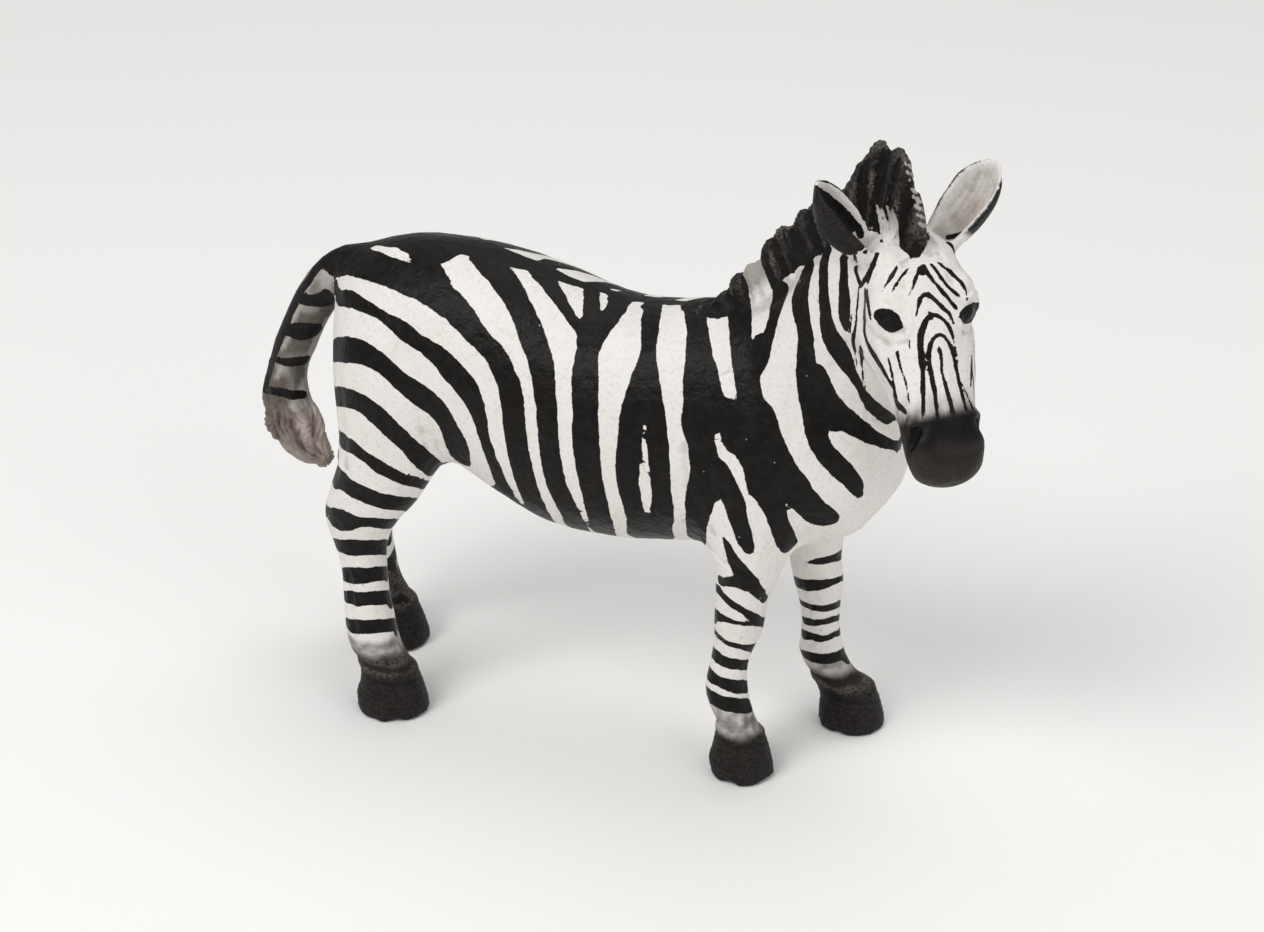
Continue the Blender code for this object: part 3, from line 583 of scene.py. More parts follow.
TAIL_STROKES = (
    Stroke("tail root on the tail", ((366, 238), (352, 242), (338, 247), (325, 253), (314, 262)),
           ((372, 262), (352, 270), (338, 269), (326, 266), (316, 267))),
    line("tail ridge",
         ((322, 262, 6), (311, 276, 7), (300, 293, 7), (290, 312, 7), (281, 335, 7), (273, 352, 8),
          (270, 372, 5), (264, 388, 5)), mirrored=False),
    ring("first tail band", TAIL, ((300.6, 292.8), (316, 295), (330, 289), (335, 290)),
         ((300.6, 304.5), (314.5, 307.4), (329, 306), (338, 303))),
    ring("second tail band", TAIL, ((284, 327), (298, 323.6), (310, 323), (318, 323.6)),
         ((284, 335), (298, 341), (306, 339), (313, 336.8))),
    ring("third tail band", TAIL, ((270, 352), (280, 358.8), (293, 357.5), (306, 355.8)),
         ((269, 358), (284, 367.6), (295, 366), (304.5, 364.6))),
    ring("fourth tail band", TAIL, ((260.3, 385.2), (273.5, 386.6), (292.5, 390.3), (304.3, 390.3)),
         ((261, 392.5), (279, 395.4), (292.5, 401.3), (303.5, 398.4))),
)

TAIL_PATCHES = (
    line("upper patch", ((318, 270, 5), (311, 280, 7), (305, 288, 5))),
    line("second patch", ((301, 302, 4), (296, 312, 7), (290, 323, 6))),
    line("third patch", ((289, 337, 5), (282, 348, 5))),
    line("fourth patch", ((283, 363, 4), (276, 380, 5))),
    line("inner edge",
         ((334, 309, 3), (323, 328, 4), (314, 342, 4), (308, 365, 4), (307, 378, 4), (312, 396, 5),
          (314, 413, 6))),
)

MANE_STROKES = (
    Stroke("pale mane stripe", ((741, 266), (748, 284), (751, 302), (751, 345)),
           ((757, 258), (766, 275), (773, 293), (764, 332)), ink=Ink.WHITE),
    line("left of the forelock", ((889, 238, 4), (895, 248, 9), (904, 259, 12)), ink=Ink.WHITE,
         mirrored=False),
    line("right of the forelock", ((936, 232, 5), (933, 247, 12), (924, 260, 12)), ink=Ink.WHITE,
         mirrored=False),
    line("below the forelock", ((898, 264, 12), (914, 265, 14), (932, 264, 14)), ink=Ink.WHITE,
         mirrored=False),
    line("far side of the forelock", ((941, 242, 10), (943, 255, 15), (938, 267, 14)), ink=Ink.WHITE,
         mirrored=False),
)

TUFT_STROKES = tuple(
    line(f"tuft hair {i}",
         ((877 + 5 * i, 206 + 4 * (i % 2), 2), (881 + 5 * i, 222, 4.5), (885 + 4 * i, 240, 5),
          (889 + 3 * i, 258, 4)), ink=Ink.WHITE, mirrored=False)
    for i in range(4)
)

FRONT_TICKS = tuple(
    line(f"front tick {i}", ((905 + 2.0 * i, 163 + 8.5 * i, 3), (911 + 2.0 * i, 167 + 8.5 * i, 5),
                             (918 + 1.6 * i, 168 + 8.5 * i, 3)), ink=Ink.WHITE, mirrored=False)
    for i in range(8)
)

EAR_STROKES = (
    line("pale strip in the near ear",
         ((818, 183, 4), (828, 187, 8), (838, 194, 10), (848, 204, 9), (857, 215, 7), (864, 226, 4)),
         ink=Ink.WHITE, mirrored=False),
)


class Surface:
    """The figure's skin, to cast the photo's pixels on.

    Args:
        points: The skin's vertices, in millimetres.
        faces: Its faces, as indices.
        camera: The photo's viewpoint.
    """

    limb_reach = 9.0

    def __init__(self, points: Floats, faces: list[tuple[int, ...]], camera: PhotoCamera) -> None:
        """Builds the search tree."""
        self.tree = BVHTree.FromPolygons([tuple(p) for p in points], faces)
        self.camera = camera

    def snapped(self, points: Floats) -> Floats:
        """Each point's nearest place on the skin."""
        return np.array([self.tree.find_nearest(Vector(p))[0] for p in points])

    def cast_on_limb(self, pixel: tuple[float, float], limb: Limb) -> Floats:
        """The place on a limb that a pixel shows, or, just beside the limb, its skin nearest to the ray."""
        start, direction = self.camera.ray(pixel)
        hit = self.tree.ray_cast(Vector(start), Vector(direction))[0]
        if hit is not None:
            found = np.array(hit)
            if np.linalg.norm(found[:2] - limb.middle(found[2:])[0]) < self.limb_reach:
                return found
        depths = self.camera.distance + np.linspace(-110.0, 110.0, 221)
        tries = start + direction * depths[:, None]
        gaps = np.linalg.norm(tries[:, :2] - limb.middle(tries[:, 2]), axis=1)
        return self.snapped(tries[np.argmin(gaps)][None])[0]

    def cast(self, pixel: tuple[float, float]) -> Floats:
        """The place that a pixel shows, or, just beside the figure, the skin nearest to its ray."""
        start, direction = self.camera.ray(pixel)
        hit = self.tree.ray_cast(Vector(start), Vector(direction))[0]
        if hit is not None:
            return np.array(hit)
        reach = self.camera.distance
        for half_width, steps in ((110.0, 45), (5.0, 21), (0.5, 11)):
            tries = np.linspace(reach - half_width, reach + half_width, steps)
            found = [self.tree.find_nearest(Vector(start + direction * t)) for t in tries]
            reach = tries[int(np.argmin([item[3] for item in found]))]
        return np.array(self.tree.find_nearest(Vector(start + direction * reach))[0])


@dataclass
class Layer:
    """A stroke laid on the skin: pairs of places on its two edges, in millimetres."""

    edge: Floats
    other: Floats

    def middles(self) -> Floats:
        """The middle of each pair."""
        return (self.edge + self.other) / 2

    def halves(self) -> Floats:
        """Half the width at each pair."""
        return np.linalg.norm(self.edge - self.other, axis=1) / 2

    def away(self, points: Floats, cap: float) -> Floats:
        """How far each point is outside the stroke, below zero inside it, and at most cap."""
        middles, halves = self.middles(), self.halves()
        room = halves.max() + cap
        low, high = middles.min(axis=0) - room, middles.max(axis=0) + room
        near = np.flatnonzero(np.all((points > low) & (points < high), axis=1))
        found = np.full(len(points), cap)
        some = points[near]
        best = np.full(len(near), cap)
        for i in range(len(middles) - 1):
            span = middles[i + 1] - middles[i]
            share = np.clip((some - middles[i]) @ span / max(span @ span, 1e-9), 0.0, 1.0)
            gap = np.linalg.norm(some - middles[i] - share[:, None] * span, axis=1)
            best = np.minimum(best, gap - (halves[i] + share * (halves[i + 1] - halves[i])))
        found[near] = best
        return found


@dataclass
class Brush:
    """Lays strokes on the skin and takes them round the sides that the photo hides."""

    surface: Surface
    median: Median = field(default_factory=Median)
    spacing: float = 5.0
    widest: float = 2.2
    slack: float = 1.2
    deepest: float = 26.0
    wobble: Grain = field(default_factory=lambda: Grain(14.0, 7))
    wobble_height: float = 0.7
    belly_shares: tuple[float, ...] = (0.25, 0.5, 0.75, 0.95)
    rump_shares: tuple[float, ...] = (0.35, 0.7, 1.0)
    rump_gap: float = 3.0
    leg_blend: tuple[float, float] = (66.0, 46.0)

    def laid(self, stroke: Stroke) -> list[Layer]:
        """All the layers of a stroke: where the photo shows it, round its limb, and on the far side.

        Args:
            stroke: The stroke, in the photo's pixels.

        Returns:
            One to four layers.
        """
        edge = rounded(np.array(stroke.edge, dtype=float))
        other = rounded(np.array(stroke.other, dtype=float))
        length = np.linalg.norm(np.diff(edge, axis=0), axis=1).sum()
        count = max(3, round(length / self.spacing))
        runs = [along_line(run, count) for run in (edge, other)]
        if stroke.limb:
            pair = [np.array([self.surface.cast_on_limb(tuple(p), stroke.limb) for p in run]) for run in runs]
        else:
            pair = [np.array([self.surface.cast(tuple(p)) for p in run]) for run in runs]
        pair = self.unbroken(runs, pair)
        if stroke.wrap is Wrap.BELLY:
            pair = self.below_belly(pair)
        elif stroke.wrap is Wrap.RUMP:
            pair = self.round_rump(pair)
        layers = [Layer(*pair)]
        if stroke.wrap is Wrap.RING:
            layers.append(Layer(*(self.behind(run, stroke.limb) for run in pair)))
        if stroke.mirrored:
            layers += [Layer(self.far_side(item.edge), self.far_side(item.other)) for item in list(layers)]
        return layers

    def unbroken(self, runs: list[Floats], pair: list[Floats]) -> list[Floats]:
        """Leaves out the pairs whose two places lie on different parts of the animal.

        Args:
            runs: The two edges in pixels.
            pair: The two edges on the skin.

        Returns:
            The pairs on the skin that are about as far apart as they look.
        """
        scale = self.surface.camera.distance / self.surface.camera.focal_pixels()
        looks = np.linalg.norm(runs[0] - runs[1], axis=1) * scale
        gaps = np.linalg.norm(pair[0] - pair[1], axis=1)
        kept = gaps < self.widest * looks + self.slack
        middles = (pair[0] + pair[1]) / 2
        depths = (middles - self.surface.camera.centre()) @ self.surface.camera.axes()[2]
        kept &= np.abs(depths - np.median(depths[kept])) < self.deepest
        return [run[kept] for run in pair]

    def below_belly(self, pair: list[Floats]) -> list[Floats]:
        """Runs a stripe on towards the middle of the belly, ever thinner."""
        edge, other = pair
        middle = (edge[-1] + other[-1]) / 2
        half = (edge[-1] - other[-1]) / 2
        for share in self.belly_shares:
            centre = middle * (1, 1 - share, 1) + (FIGURE_SHIFT * (0, share, 0)) - (1.5 * share, 0, 4.0)
            place = self.surface.snapped(centre[None])[0]
            edge = np.vstack([edge, place + half * (1 - share)])
            other = np.vstack([other, place - half * (1 - share)])
        return [edge, other]

    def round_rump(self, pair: list[Floats]) -> list[Floats]:
        """Runs a stripe on round the back of the thigh, to beside the tail."""
        edge, other = pair
        target = FIGURE_SHIFT[1] - self.rump_gap
        first = np.array([edge[0], other[0]])
        for share in self.rump_shares:
            moved = first.copy()
            moved[:, 0] -= 2.0
            moved[:, 1] += (target - first[:, 1]) * share
            ends = self.surface.snapped(moved)
            edge = np.vstack([ends[:1], edge])
            other = np.vstack([ends[1:], other])
        return [edge, other]

    def behind(self, run: Floats, limb: Limb) -> Floats:
        """The same run on the hidden side of its limb."""
        view = self.surface.camera.level_view()[:2]
        middle = limb.middle(run[:, 2])
        depth = (run[:, :2] - middle) @ view
        moved = run.copy()
        moved[:, :2] -= 2.0 * depth[:, None] * view
        return self.surface.snapped(moved)

    def far_side(self, run: Floats) -> Floats:
        """The same run on the animal's other side, a little out of true, as a painter's hand is."""
        height = run[:, 2] - FIGURE_SHIFT[2]
        leg = 1.0 - smooth_step(self.leg_blend[1], self.leg_blend[0], height)
        moved = self.median.mirrored(run)
        hind = run[:, 0] < 0
        near = np.where(hind[:, None], RIGHT_HIND.middle(run[:, 2]), RIGHT_FORE.middle(run[:, 2]))
        far = np.where(hind[:, None], LEFT_HIND.middle(run[:, 2]), LEFT_FORE.middle(run[:, 2]))
        moved[:, 0] += leg * (far[:, 0] - near[:, 0])
        moved[:, 1] += leg * (far[:, 1] + near[:, 1] - 2 * FIGURE_SHIFT[1])
        body = np.clip(1.0 - leg, 0.0, 1.0) * self.wobble_height
        moved[:, 0] += body * self.wobble.at(moved)
        return self.surface.snapped(moved)


@dataclass(frozen=True)
class HeadAxes:
    """The head's own axes: along the face to the nose, out of the forehead, and to the animal's left."""

    origin: Point = (59.0, -7.8, 103.8)
    yaw: float = math.radians(-49.0)
    pitch: float = math.radians(55.0)

    def axes(self) -> tuple[Floats, Floats, Floats]:
        """The three unit vectors."""
        heading = np.array((math.cos(self.yaw), math.sin(self.yaw), 0.0))
        rise = np.array((0.0, 0.0, 1.0))
        along = heading * math.cos(self.pitch) - rise * math.sin(self.pitch)
        out = heading * math.sin(self.pitch) + rise * math.cos(self.pitch)
        return along, out, np.array((-math.sin(self.yaw), math.cos(self.yaw), 0.0))

    def point(self, along: float, out: float, left: float) -> Floats:
        """A point given in the head's axes, in the part's frame."""
        a, o, l = self.axes()
        return placed(self.origin)[0] + a * along + o * out + l * left

    def coordinates(self, points: Floats) -> Floats:
        """Each point's three coordinates in the head's axes."""
        return (points - placed(self.origin)[0]) @ np.stack(self.axes(), axis=1)


@dataclass(frozen=True)
class Tool:
    """One mark of the modelling tool: a hollow or a swelling along a path, its reach and height."""

    name: str
    path: tuple[Point, ...]
    reach: float
    height: float


FACE_MARKS = (
    Tool("upper lid",
         ((12.4, 5.6, 4.4), (10.4, 6.6, 5.2), (8.2, 5.6, 6.6), (7.4, 4.0, 8.2), (8.4, 2.6, 9.0)), 0.8, 0.32),
    Tool("lid crease", ((11.4, 7.0, 4.2), (9.0, 7.0, 5.6), (7.0, 5.6, 7.4), (6.6, 3.8, 8.8)), 0.7, -0.22),
    Tool("lower lid", ((12.6, 5.4, 4.8), (12.6, 3.8, 6.8), (10.8, 2.2, 8.6)), 0.8, 0.22),
    Tool("lower crease", ((13.8, 5.0, 5.0), (13.8, 3.2, 7.0), (12.0, 1.4, 8.6)), 0.9, -0.2),
    Tool("eyeball", ((10.2, 4.4, 6.9),), 1.9, 0.3),
    Tool("cheek ridge", ((13.0, 1.0, 8.4), (17.0, 0.4, 7.6), (21.0, 0.2, 6.8)), 1.8, 0.35),
    Tool("jaw edge", ((6.0, -9.0, 6.4), (12.0, -8.4, 6.2), (18.0, -6.4, 5.6)), 1.6, 0.25),
    Tool("jaw groove", ((9.0, -2.0, 8.8), (14.0, -3.4, 8.2), (18.0, -4.2, 7.2)), 1.4, -0.28),
    Tool("nostril", ((27.9, 2.5, 5.4), (29.6, 1.3, 6.4)), 1.3, -0.6),
    Tool("nostril wing", ((26.6, 3.2, 4.6), (26.6, 1.6, 6.2), (28.0, 0.2, 7.0), (30.2, 0.0, 6.9)), 0.9, 0.3),
    Tool("mouth", ((35.4, -2.7, 3.2), (33.4, -3.2, 5.2), (30.0, -4.0, 6.2), (26.5, -4.7, 6.0)), 0.8, -0.55),
    Tool("mouth corner", ((25.6, -4.9, 6.0),), 1.0, 0.28),
    Tool("chin crease", ((31.5, -6.4, 4.4), (28.5, -6.6, 4.6)), 0.9, -0.22),
    Tool("muzzle crease", ((24.8, 3.4, 4.8), (25.2, 1.2, 6.2), (25.6, -1.4, 6.4)), 0.9, -0.18),
    Tool("brow hollow", ((5.0, 6.2, 4.4), (3.4, 4.4, 7.0)), 1.8, -0.3),
)

FACE_MIDLINE_MARKS = (
    Tool("lips", ((35.4, -2.7, -3.2), (36.4, -2.2, 0.0), (35.4, -2.7, 3.2)), 0.65, -0.4),
    Tool("lip dip", ((34.6, 2.6, 0.0), (36.6, 0.2, 0.0)), 0.8, -0.22),
)

BODY_MARKS = (
    Tool("shoulder blade", ((33.0, -9.5, 83.0), (38.0, -13.0, 74.0), (44.0, -14.0, 64.0)), 2.6, -0.28),
    Tool("triceps edge", ((24.0, -17.0, 68.0), (25.0, -17.4, 58.0), (29.0, -16.2, 52.0)), 2.4, -0.26),
    Tool("elbow fold", ((26.5, -13.8, 49.0), (30.0, -15.6, 47.0), (35.0, -16.4, 46.0)), 1.5, -0.26),
    Tool("breast fold", ((46.0, -12.5, 57.0), (50.0, -9.0, 55.0)), 1.6, -0.22),
    Tool("stifle fold", ((-19.0, -15.0, 60.0), (-22.0, -16.2, 54.0), (-27.0, -16.5, 49.0)), 2.0, -0.32),
    Tool("thigh groove", ((-40.0, -13.5, 72.0), (-40.5, -16.5, 62.0), (-40.0, -17.0, 52.0)), 2.0, -0.3),
    Tool("haunch ridge", ((-26.0, -14.0, 80.0), (-28.0, -17.0, 70.0), (-27.0, -18.5, 60.0)), 3.0, 0.25),
    Tool("hip point", ((-24.0, -13.5, 83.0),), 4.0, 0.4),
    Tool("neck groove", ((51.0, -11.5, 92.0), (47.0, -13.5, 82.0), (42.0, -14.5, 72.0)), 2.0, -0.25),
    Tool("neck fold", ((40.0, -9.5, 92.0), (45.0, -12.6, 84.0)), 1.4, -0.16),
    Tool("rear rib", ((-8.0, -17.6, 74.0), (-7.0, -18.8, 62.0), (-10.0, -17.0, 52.0)), 2.2, 0.12),
    Tool("middle rib", ((0.0, -17.6, 74.0), (2.0, -18.8, 62.0), (-1.0, -17.0, 50.0)), 2.2, 0.12),
    Tool("front rib", ((8.0, -17.6, 74.0), (10.0, -18.8, 62.0), (8.0, -17.0, 50.0)), 2.2, 0.12),
)


@dataclass(frozen=True)
class LegForm:
    """The carving of one leg: tendon, knee or hock, fetlock, coronet and the growth of the hoof."""

    limb: Limb
    hoof: tuple[float, float]
    hoof_height: float
    hind: bool
    pastern_black: float
    grey_band: float

    def marks(self) -> list[Tool]:
        """The tool marks on both sides of the leg."""
        found = []
        level = 34.0 if self.hind else 30.0
        for side in (-1.0, 1.0):
            tendon, joint, bulb = [], [], []
            for height in (30.0, 26.0, 22.0, 18.0):
                x, y = self.limb.middle(np.array([height + FIGURE_SHIFT[2]]))[0] - FIGURE_SHIFT[:2]
                tendon.append((x - 1.5, y + side * 3.7, height))
            for height in (level + 3.0, level - 3.0):
                x, y = self.limb.middle(np.array([height + FIGURE_SHIFT[2]]))[0] - FIGURE_SHIFT[:2]
                joint.append((x + 0.5, y + side * 4.6, height))
            bulb.append((self.hoof[0] - 5.4, self.hoof[1] + side * 2.4, 5.4))
            found += [
                Tool("tendon", tuple(tendon), 1.3, -0.3),
                Tool("joint side", tuple(joint), 1.6, -0.22),
                Tool("heel bulb", tuple(bulb), 2.4, 0.35),
            ]
        x, y = self.limb.middle(np.array([15.0 + FIGURE_SHIFT[2]]))[0] - FIGURE_SHIFT[:2]
        found.append(Tool("fetlock tuft", ((x - 5.0, y, 16.5), (x - 4.6, y, 13.6)), 1.8, 0.45))
        return found

    def hoof_lift(self, points: Floats) -> Floats:
        """How far the hoof's wall stands out: a lip at the coronet, and fine rings below it."""
        centre = placed((self.hoof[0], self.hoof[1], 0.0))[0]
        away = np.linalg.norm(points[:, :2] - centre[:2], axis=1)
        on_hoof = (1.0 - smooth_step(9.0, 10.0, away)) * smooth_step(0.3, 1.0, points[:, 2])
        tilt = (points[:, 0] - centre[0]) * 0.12
        height = points[:, 2] + tilt
        coronet = self.hoof_height + FIGURE_SHIFT[2]
        lip = np.exp(-(((height - coronet) / 0.55) ** 2)) * 0.2
        groove = -np.exp(-(((height - coronet - 1.3) / 0.6) ** 2)) * 0.18
        rings = 0.05 * np.sin(height * 2 * math.pi / 1.15) * (height < coronet - 0.6)
        return on_hoof * (lip + groove + rings)


LEGS = (
    LegForm(RIGHT_HIND, (-34.2, -13.5), 10.9, True, 14.2, 17.0),
    LegForm(LEFT_HIND, (-45.2, 9.3), 10.9, True, 17.0, 19.0),
    LegForm(RIGHT_FORE, (33.0, -10.2), 10.8, False, 10.6, 15.6),
    LegForm(LEFT_FORE, (46.0, 13.2), 10.0, False, 12.6, 15.4),
)


@dataclass(frozen=True)
class Mane:
    """The upright mane: a sheet of strands on the crest of the neck, from its root line to its crest."""

    root: tuple[Point, ...] = (
        (22.0, 0.0, 83.5), (32.5, -0.3, 89.5), (40.0, -1.5, 96.5), (47.5, -3.4, 103.5), (50.0, -4.0, 105.0),
        (53.0, -5.0, 106.0), (55.5, -6.6, 106.0), (58.8, -9.0, 105.0), (61.0, -10.4, 103.8),
        (61.8, -11.2, 103.0))
    crest: tuple[Point, ...] = (
        (21.6, 0.0, 86.4), (29.1, -0.3, 96.2), (35.6, -1.2, 104.8), (44.4, -3.0, 111.6), (49.3, -3.8, 119.0),
        (53.0, -4.4, 122.8), (56.4, -6.6, 122.9), (61.3, -10.6, 117.2), (63.0, -12.6, 109.4),
        (62.7, -12.2, 107.2))
    half_thickness: float = 4.6
    forelock: float = 0.6
    strand: float = 0.85
    strand_depth: float = 0.30
    lock: float = 4.4
    lock_depth: float = 0.55
    fan: float = 1.6
    rows: int = 70
    levels: int = 14
    batch: int = 4000
    nearest: int = 3

    def sheet(self) -> tuple[Floats, Floats, Floats]:
        """Places all over the sheet, with how far along and how far up each is."""
        root = along_line(placed(self.root), self.rows)
        crest_line = placed(self.crest)
        stations = np.arange(len(crest_line))
        share = np.interp(np.linspace(0, 1, self.rows), self.station_shares(), stations)
        crest = between_rows(share, stations, crest_line)
        length = np.linalg.norm(np.diff(root, axis=0), axis=1).sum()
        travelled = np.linspace(0, length, self.rows)
        up = np.linspace(0.0, 1.0, self.levels)
        places = root[:, None, :] + (crest - root)[:, None, :] * up[None, :, None]
        return places.reshape(-1, 3), np.repeat(travelled, self.levels), np.tile(up, self.rows)

    def station_shares(self) -> Floats:
        """Where along the root line each station is, as a share of its length."""
        steps = np.linalg.norm(np.diff(placed(self.root), axis=0), axis=1)
        travelled = np.concatenate(([0.0], np.cumsum(steps)))
        return travelled / travelled[-1]

    def coordinates(self, points: Floats) -> tuple[Floats, Floats, Floats]:
        """For each point: whether it is on the mane, how far along in millimetres, and its share up."""
        places, along, up = self.sheet()
        low, high = places.min(axis=0) - self.half_thickness, places.max(axis=0) + self.half_thickness
        near = np.flatnonzero(np.all((points > low) & (points < high), axis=1))
        on_mane, far_along, far_up = (np.zeros(len(points)) for _ in range(3))
        for start in range(0, len(near), self.batch):
            some = near[start : start + self.batch]
            gaps = ((points[some][:, None, :] - places[None]) ** 2).sum(axis=2)
            order = np.argpartition(gaps, self.nearest, axis=1)[:, : self.nearest]
            chosen = np.take_along_axis(gaps, order, axis=1)
            weight = 1.0 / (chosen + 0.01)
            weight /= weight.sum(axis=1)[:, None]
            far_along[some] = (along[order] * weight).sum(axis=1)
            far_up[some] = (up[order] * weight).sum(axis=1)
            away = np.sqrt(chosen.min(axis=1))
            on_mane[some] = 1.0 - smooth_step(self.half_thickness - 1.2, self.half_thickness, away)
        on_mane *= smooth_step(0.06, 0.22, far_up)
        root, crest = placed(self.root), placed(self.crest)
        onward = (root[-1] - root[-2]) / np.linalg.norm(root[-1] - root[-2])
        beyond = (points - (root[-1] + crest[-1]) / 2) @ onward
        on_mane *= 1.0 - smooth_step(self.forelock - 0.5, self.forelock + 0.5, beyond)
        return on_mane, far_along, far_up

    def ridge(self, points: Floats, along: Floats, up: Floats, wander: Grain, mix: Grain) -> Floats:
        """How high each place stands on its strand: one on the ridge, zero in the groove."""
        turned = along + self.fan * (up - 0.5) + 0.75 * wander.at(points)
        strand = np.abs(np.sin(math.pi * turned / self.strand))
        second = np.abs(np.sin(math.pi * (turned + 0.3 * along) / (self.strand * 1.7)))
        blend = 0.5 + 0.5 * mix.at(points)
        return strand * (1 - 0.45 * blend) + second * 0.45 * blend

    def lift(self, points: Floats) -> tuple[Floats, Floats]:
        """How far the surface moves out for strands and locks, and where the mane is."""
        on_mane, along, up = self.coordinates(points)
        ridge = self.ridge(points, along, up, Grain(3.0, 11), Grain(5.0, 12))
        locks = 0.5 + 0.5 * np.cos(2 * math.pi * (along + 1.1 * up) / self.lock)
        top = smooth_step(0.72, 1.0, up)
        uneven = 0.65 + 0.35 * Grain(4.0, 13).at(points)
        strands = self.strand_depth * (1 + 0.35 * top) * (ridge - 1.0) * uneven
        lift = strands - self.lock_depth * (1 - locks) ** 2 * (0.35 + 0.65 * up)
        return on_mane * lift, on_mane


@dataclass(frozen=True)
class TailHair:
    """The tail: short hair on the dock, and the long waved locks of the tuft."""

    limb: Limb = TAIL
    rear_of: float = -47.6
    half_width: float = 6.8
    lowest: float = 41.0
    tuft_top: float = 58.0
    locks: int = 9
    strands: int = 31
    lock_depth: float = 0.75
    strand_depth: float = 0.4
    dock_depth: float = 0.1

    def on_tail(self, points: Floats) -> Floats:
        """One on the tail, zero elsewhere."""
        local = points - FIGURE_SHIFT
        clear = 1.0 - smooth_step(self.rear_of, self.rear_of + 1.2, local[:, 0])
        narrow = 1.0 - smooth_step(self.half_width - 0.6, self.half_width, np.abs(local[:, 1]))
        return clear * narrow * smooth_step(self.lowest - 0.5, self.lowest, local[:, 2])

    def ridge(self, points: Floats) -> tuple[Floats, Floats, Floats]:
        """How high each place stands on its lock and on its strand, and how far into the tuft it is."""
        middle = self.limb.middle(points[:, 2])
        angle = np.arctan2(points[:, 1] - middle[:, 1], points[:, 0] - middle[:, 0])
        height = points[:, 2] - FIGURE_SHIFT[2]
        into = 1.0 - smooth_step(self.tuft_top - 9.0, self.tuft_top, height)
        drift = 0.5 * Grain(5.0, 21).at(points) + 0.05 * (self.tuft_top - height)
        lock = np.abs(np.sin((angle + drift) * self.locks / 2))
        strand = np.abs(np.sin((angle + 1.4 * drift) * self.strands / 2))
        return lock, strand, into

    def lift(self, points: Floats) -> tuple[Floats, Floats]:
        """How far the surface moves out for the hair, and where the tail is."""
        on_tail = self.on_tail(points)
        lock, strand, into = self.ridge(points)
        deep = into * (self.lock_depth * (lock - 0.8) + self.strand_depth * (strand - 1.0))
        short = (1.0 - into) * self.dock_depth * (strand - 1.0)
        return on_tail * (np.minimum(deep, 0.1) + short), on_tail


@dataclass(frozen=True)
class Ear:
    """An ear, as the scoop that it was modelled as, in the head's axes; hand is 1 on the left."""

    head: HeadAxes
    hand: int
    foot: Point = (-3.0, 1.2, 6.0)
    tip: Point = (-13.2, 8.1, 15.7)
    turn: float = math.radians(62.0)
    half: float = 4.4
    deep: float = 4.9
    wall: float = 1.2
    hair_depth: float = 0.08
    widths: tuple[tuple[float, float], ...] = (
        (-0.15, 0.66), (0.08, 0.82), (0.3, 0.95), (0.55, 1.02), (0.75, 0.89), (0.9, 0.55), (1.0, 0.2))

    def coordinates(self, points: Floats) -> tuple[Floats, Floats, Floats, Floats]:
        """Where each point lies on the ear.

        Args:
            points: Rows of three coordinates, in millimetres.

        Returns:
            The share from foot to tip, the distance to the side in millimetres, the radius where the
            ear's outer skin is 1, and one on the back to zero inside.
        """
        foot = self.head.point(self.foot[0], self.foot[1], self.foot[2] * self.hand)
        tip = self.head.point(self.tip[0], self.tip[1], self.tip[2] * self.hand)
        length = np.linalg.norm(tip - foot)
        axis = (tip - foot) / length
        _, _, left = self.head.axes()
        heading = np.array((math.cos(self.head.yaw), math.sin(self.head.yaw), 0.0))
        inward = left * -self.hand - axis * (axis @ (left * -self.hand))
        inward /= np.linalg.norm(inward)
        facing = heading * math.cos(self.turn) + inward * math.sin(self.turn)
        facing = facing - axis * (facing @ axis)
        facing /= np.linalg.norm(facing)
        side = np.cross(axis, facing)
        local = points - foot
        share = local @ axis / length
        width = np.interp(share, *zip(*self.widths))
        across, front = local @ side, local @ facing
        radius = np.sqrt((across / (self.half * width)) ** 2 + (front / (self.deep * width)) ** 2)
        middle = 1.0 - self.wall / 2 / (self.half * width)
        outside = smooth_step(-0.08, 0.08, radius - middle)
        return share, across, radius, outside

    def on_ear(self, points: Floats) -> Floats:
        """One on this ear, zero elsewhere."""
        share, _, radius, _ = self.coordinates(points)
        return smooth_step(0.1, 0.24, share) * (1.0 - smooth_step(1.25, 1.4, radius)) * (share < 1.12)

    def lift(self, points: Floats) -> Floats:
        """The hair inside the ear, in strands along it."""
        share, across, _, outside = self.coordinates(points)
        strands = np.abs(np.sin(across * 3.4 + 1.2 * Grain(3.0, 31).at(points))) - 1.0
        return self.on_ear(points) * (1.0 - outside) * self.hair_depth * strands * (share < 0.95)


@dataclass(frozen=True)
class Colours:
    """The figure's paints, as sRGB hex values."""

    white: str = "#E3E0DC"
    cream: str = "#EAE3DA"
    # The grey of the pits in the grain, and of the painted shade in hollows and creases
    pit_and_shade_grey: str = "#8D857D"
    black: str = "#0F0D0C"
    thin_black: str = "#1A1715"
    charcoal: str = "#262220"
    hoof: str = "#171412"
    pastern: str = "#6E6964"
    pale_grey: str = "#C4BFBA"
    tail_brown: str = "#5E5751"
    tuft_brown: str = "#5E544D"
    tuft_beige: str = "#B8AAA2"
    mane_grey: str = "#A39D98"
    # Pinkish-brown painted shade deep in the ear cups
    deep_ear_shade: str = "#A8958B"
    dry_brush: str = "#8F8984"


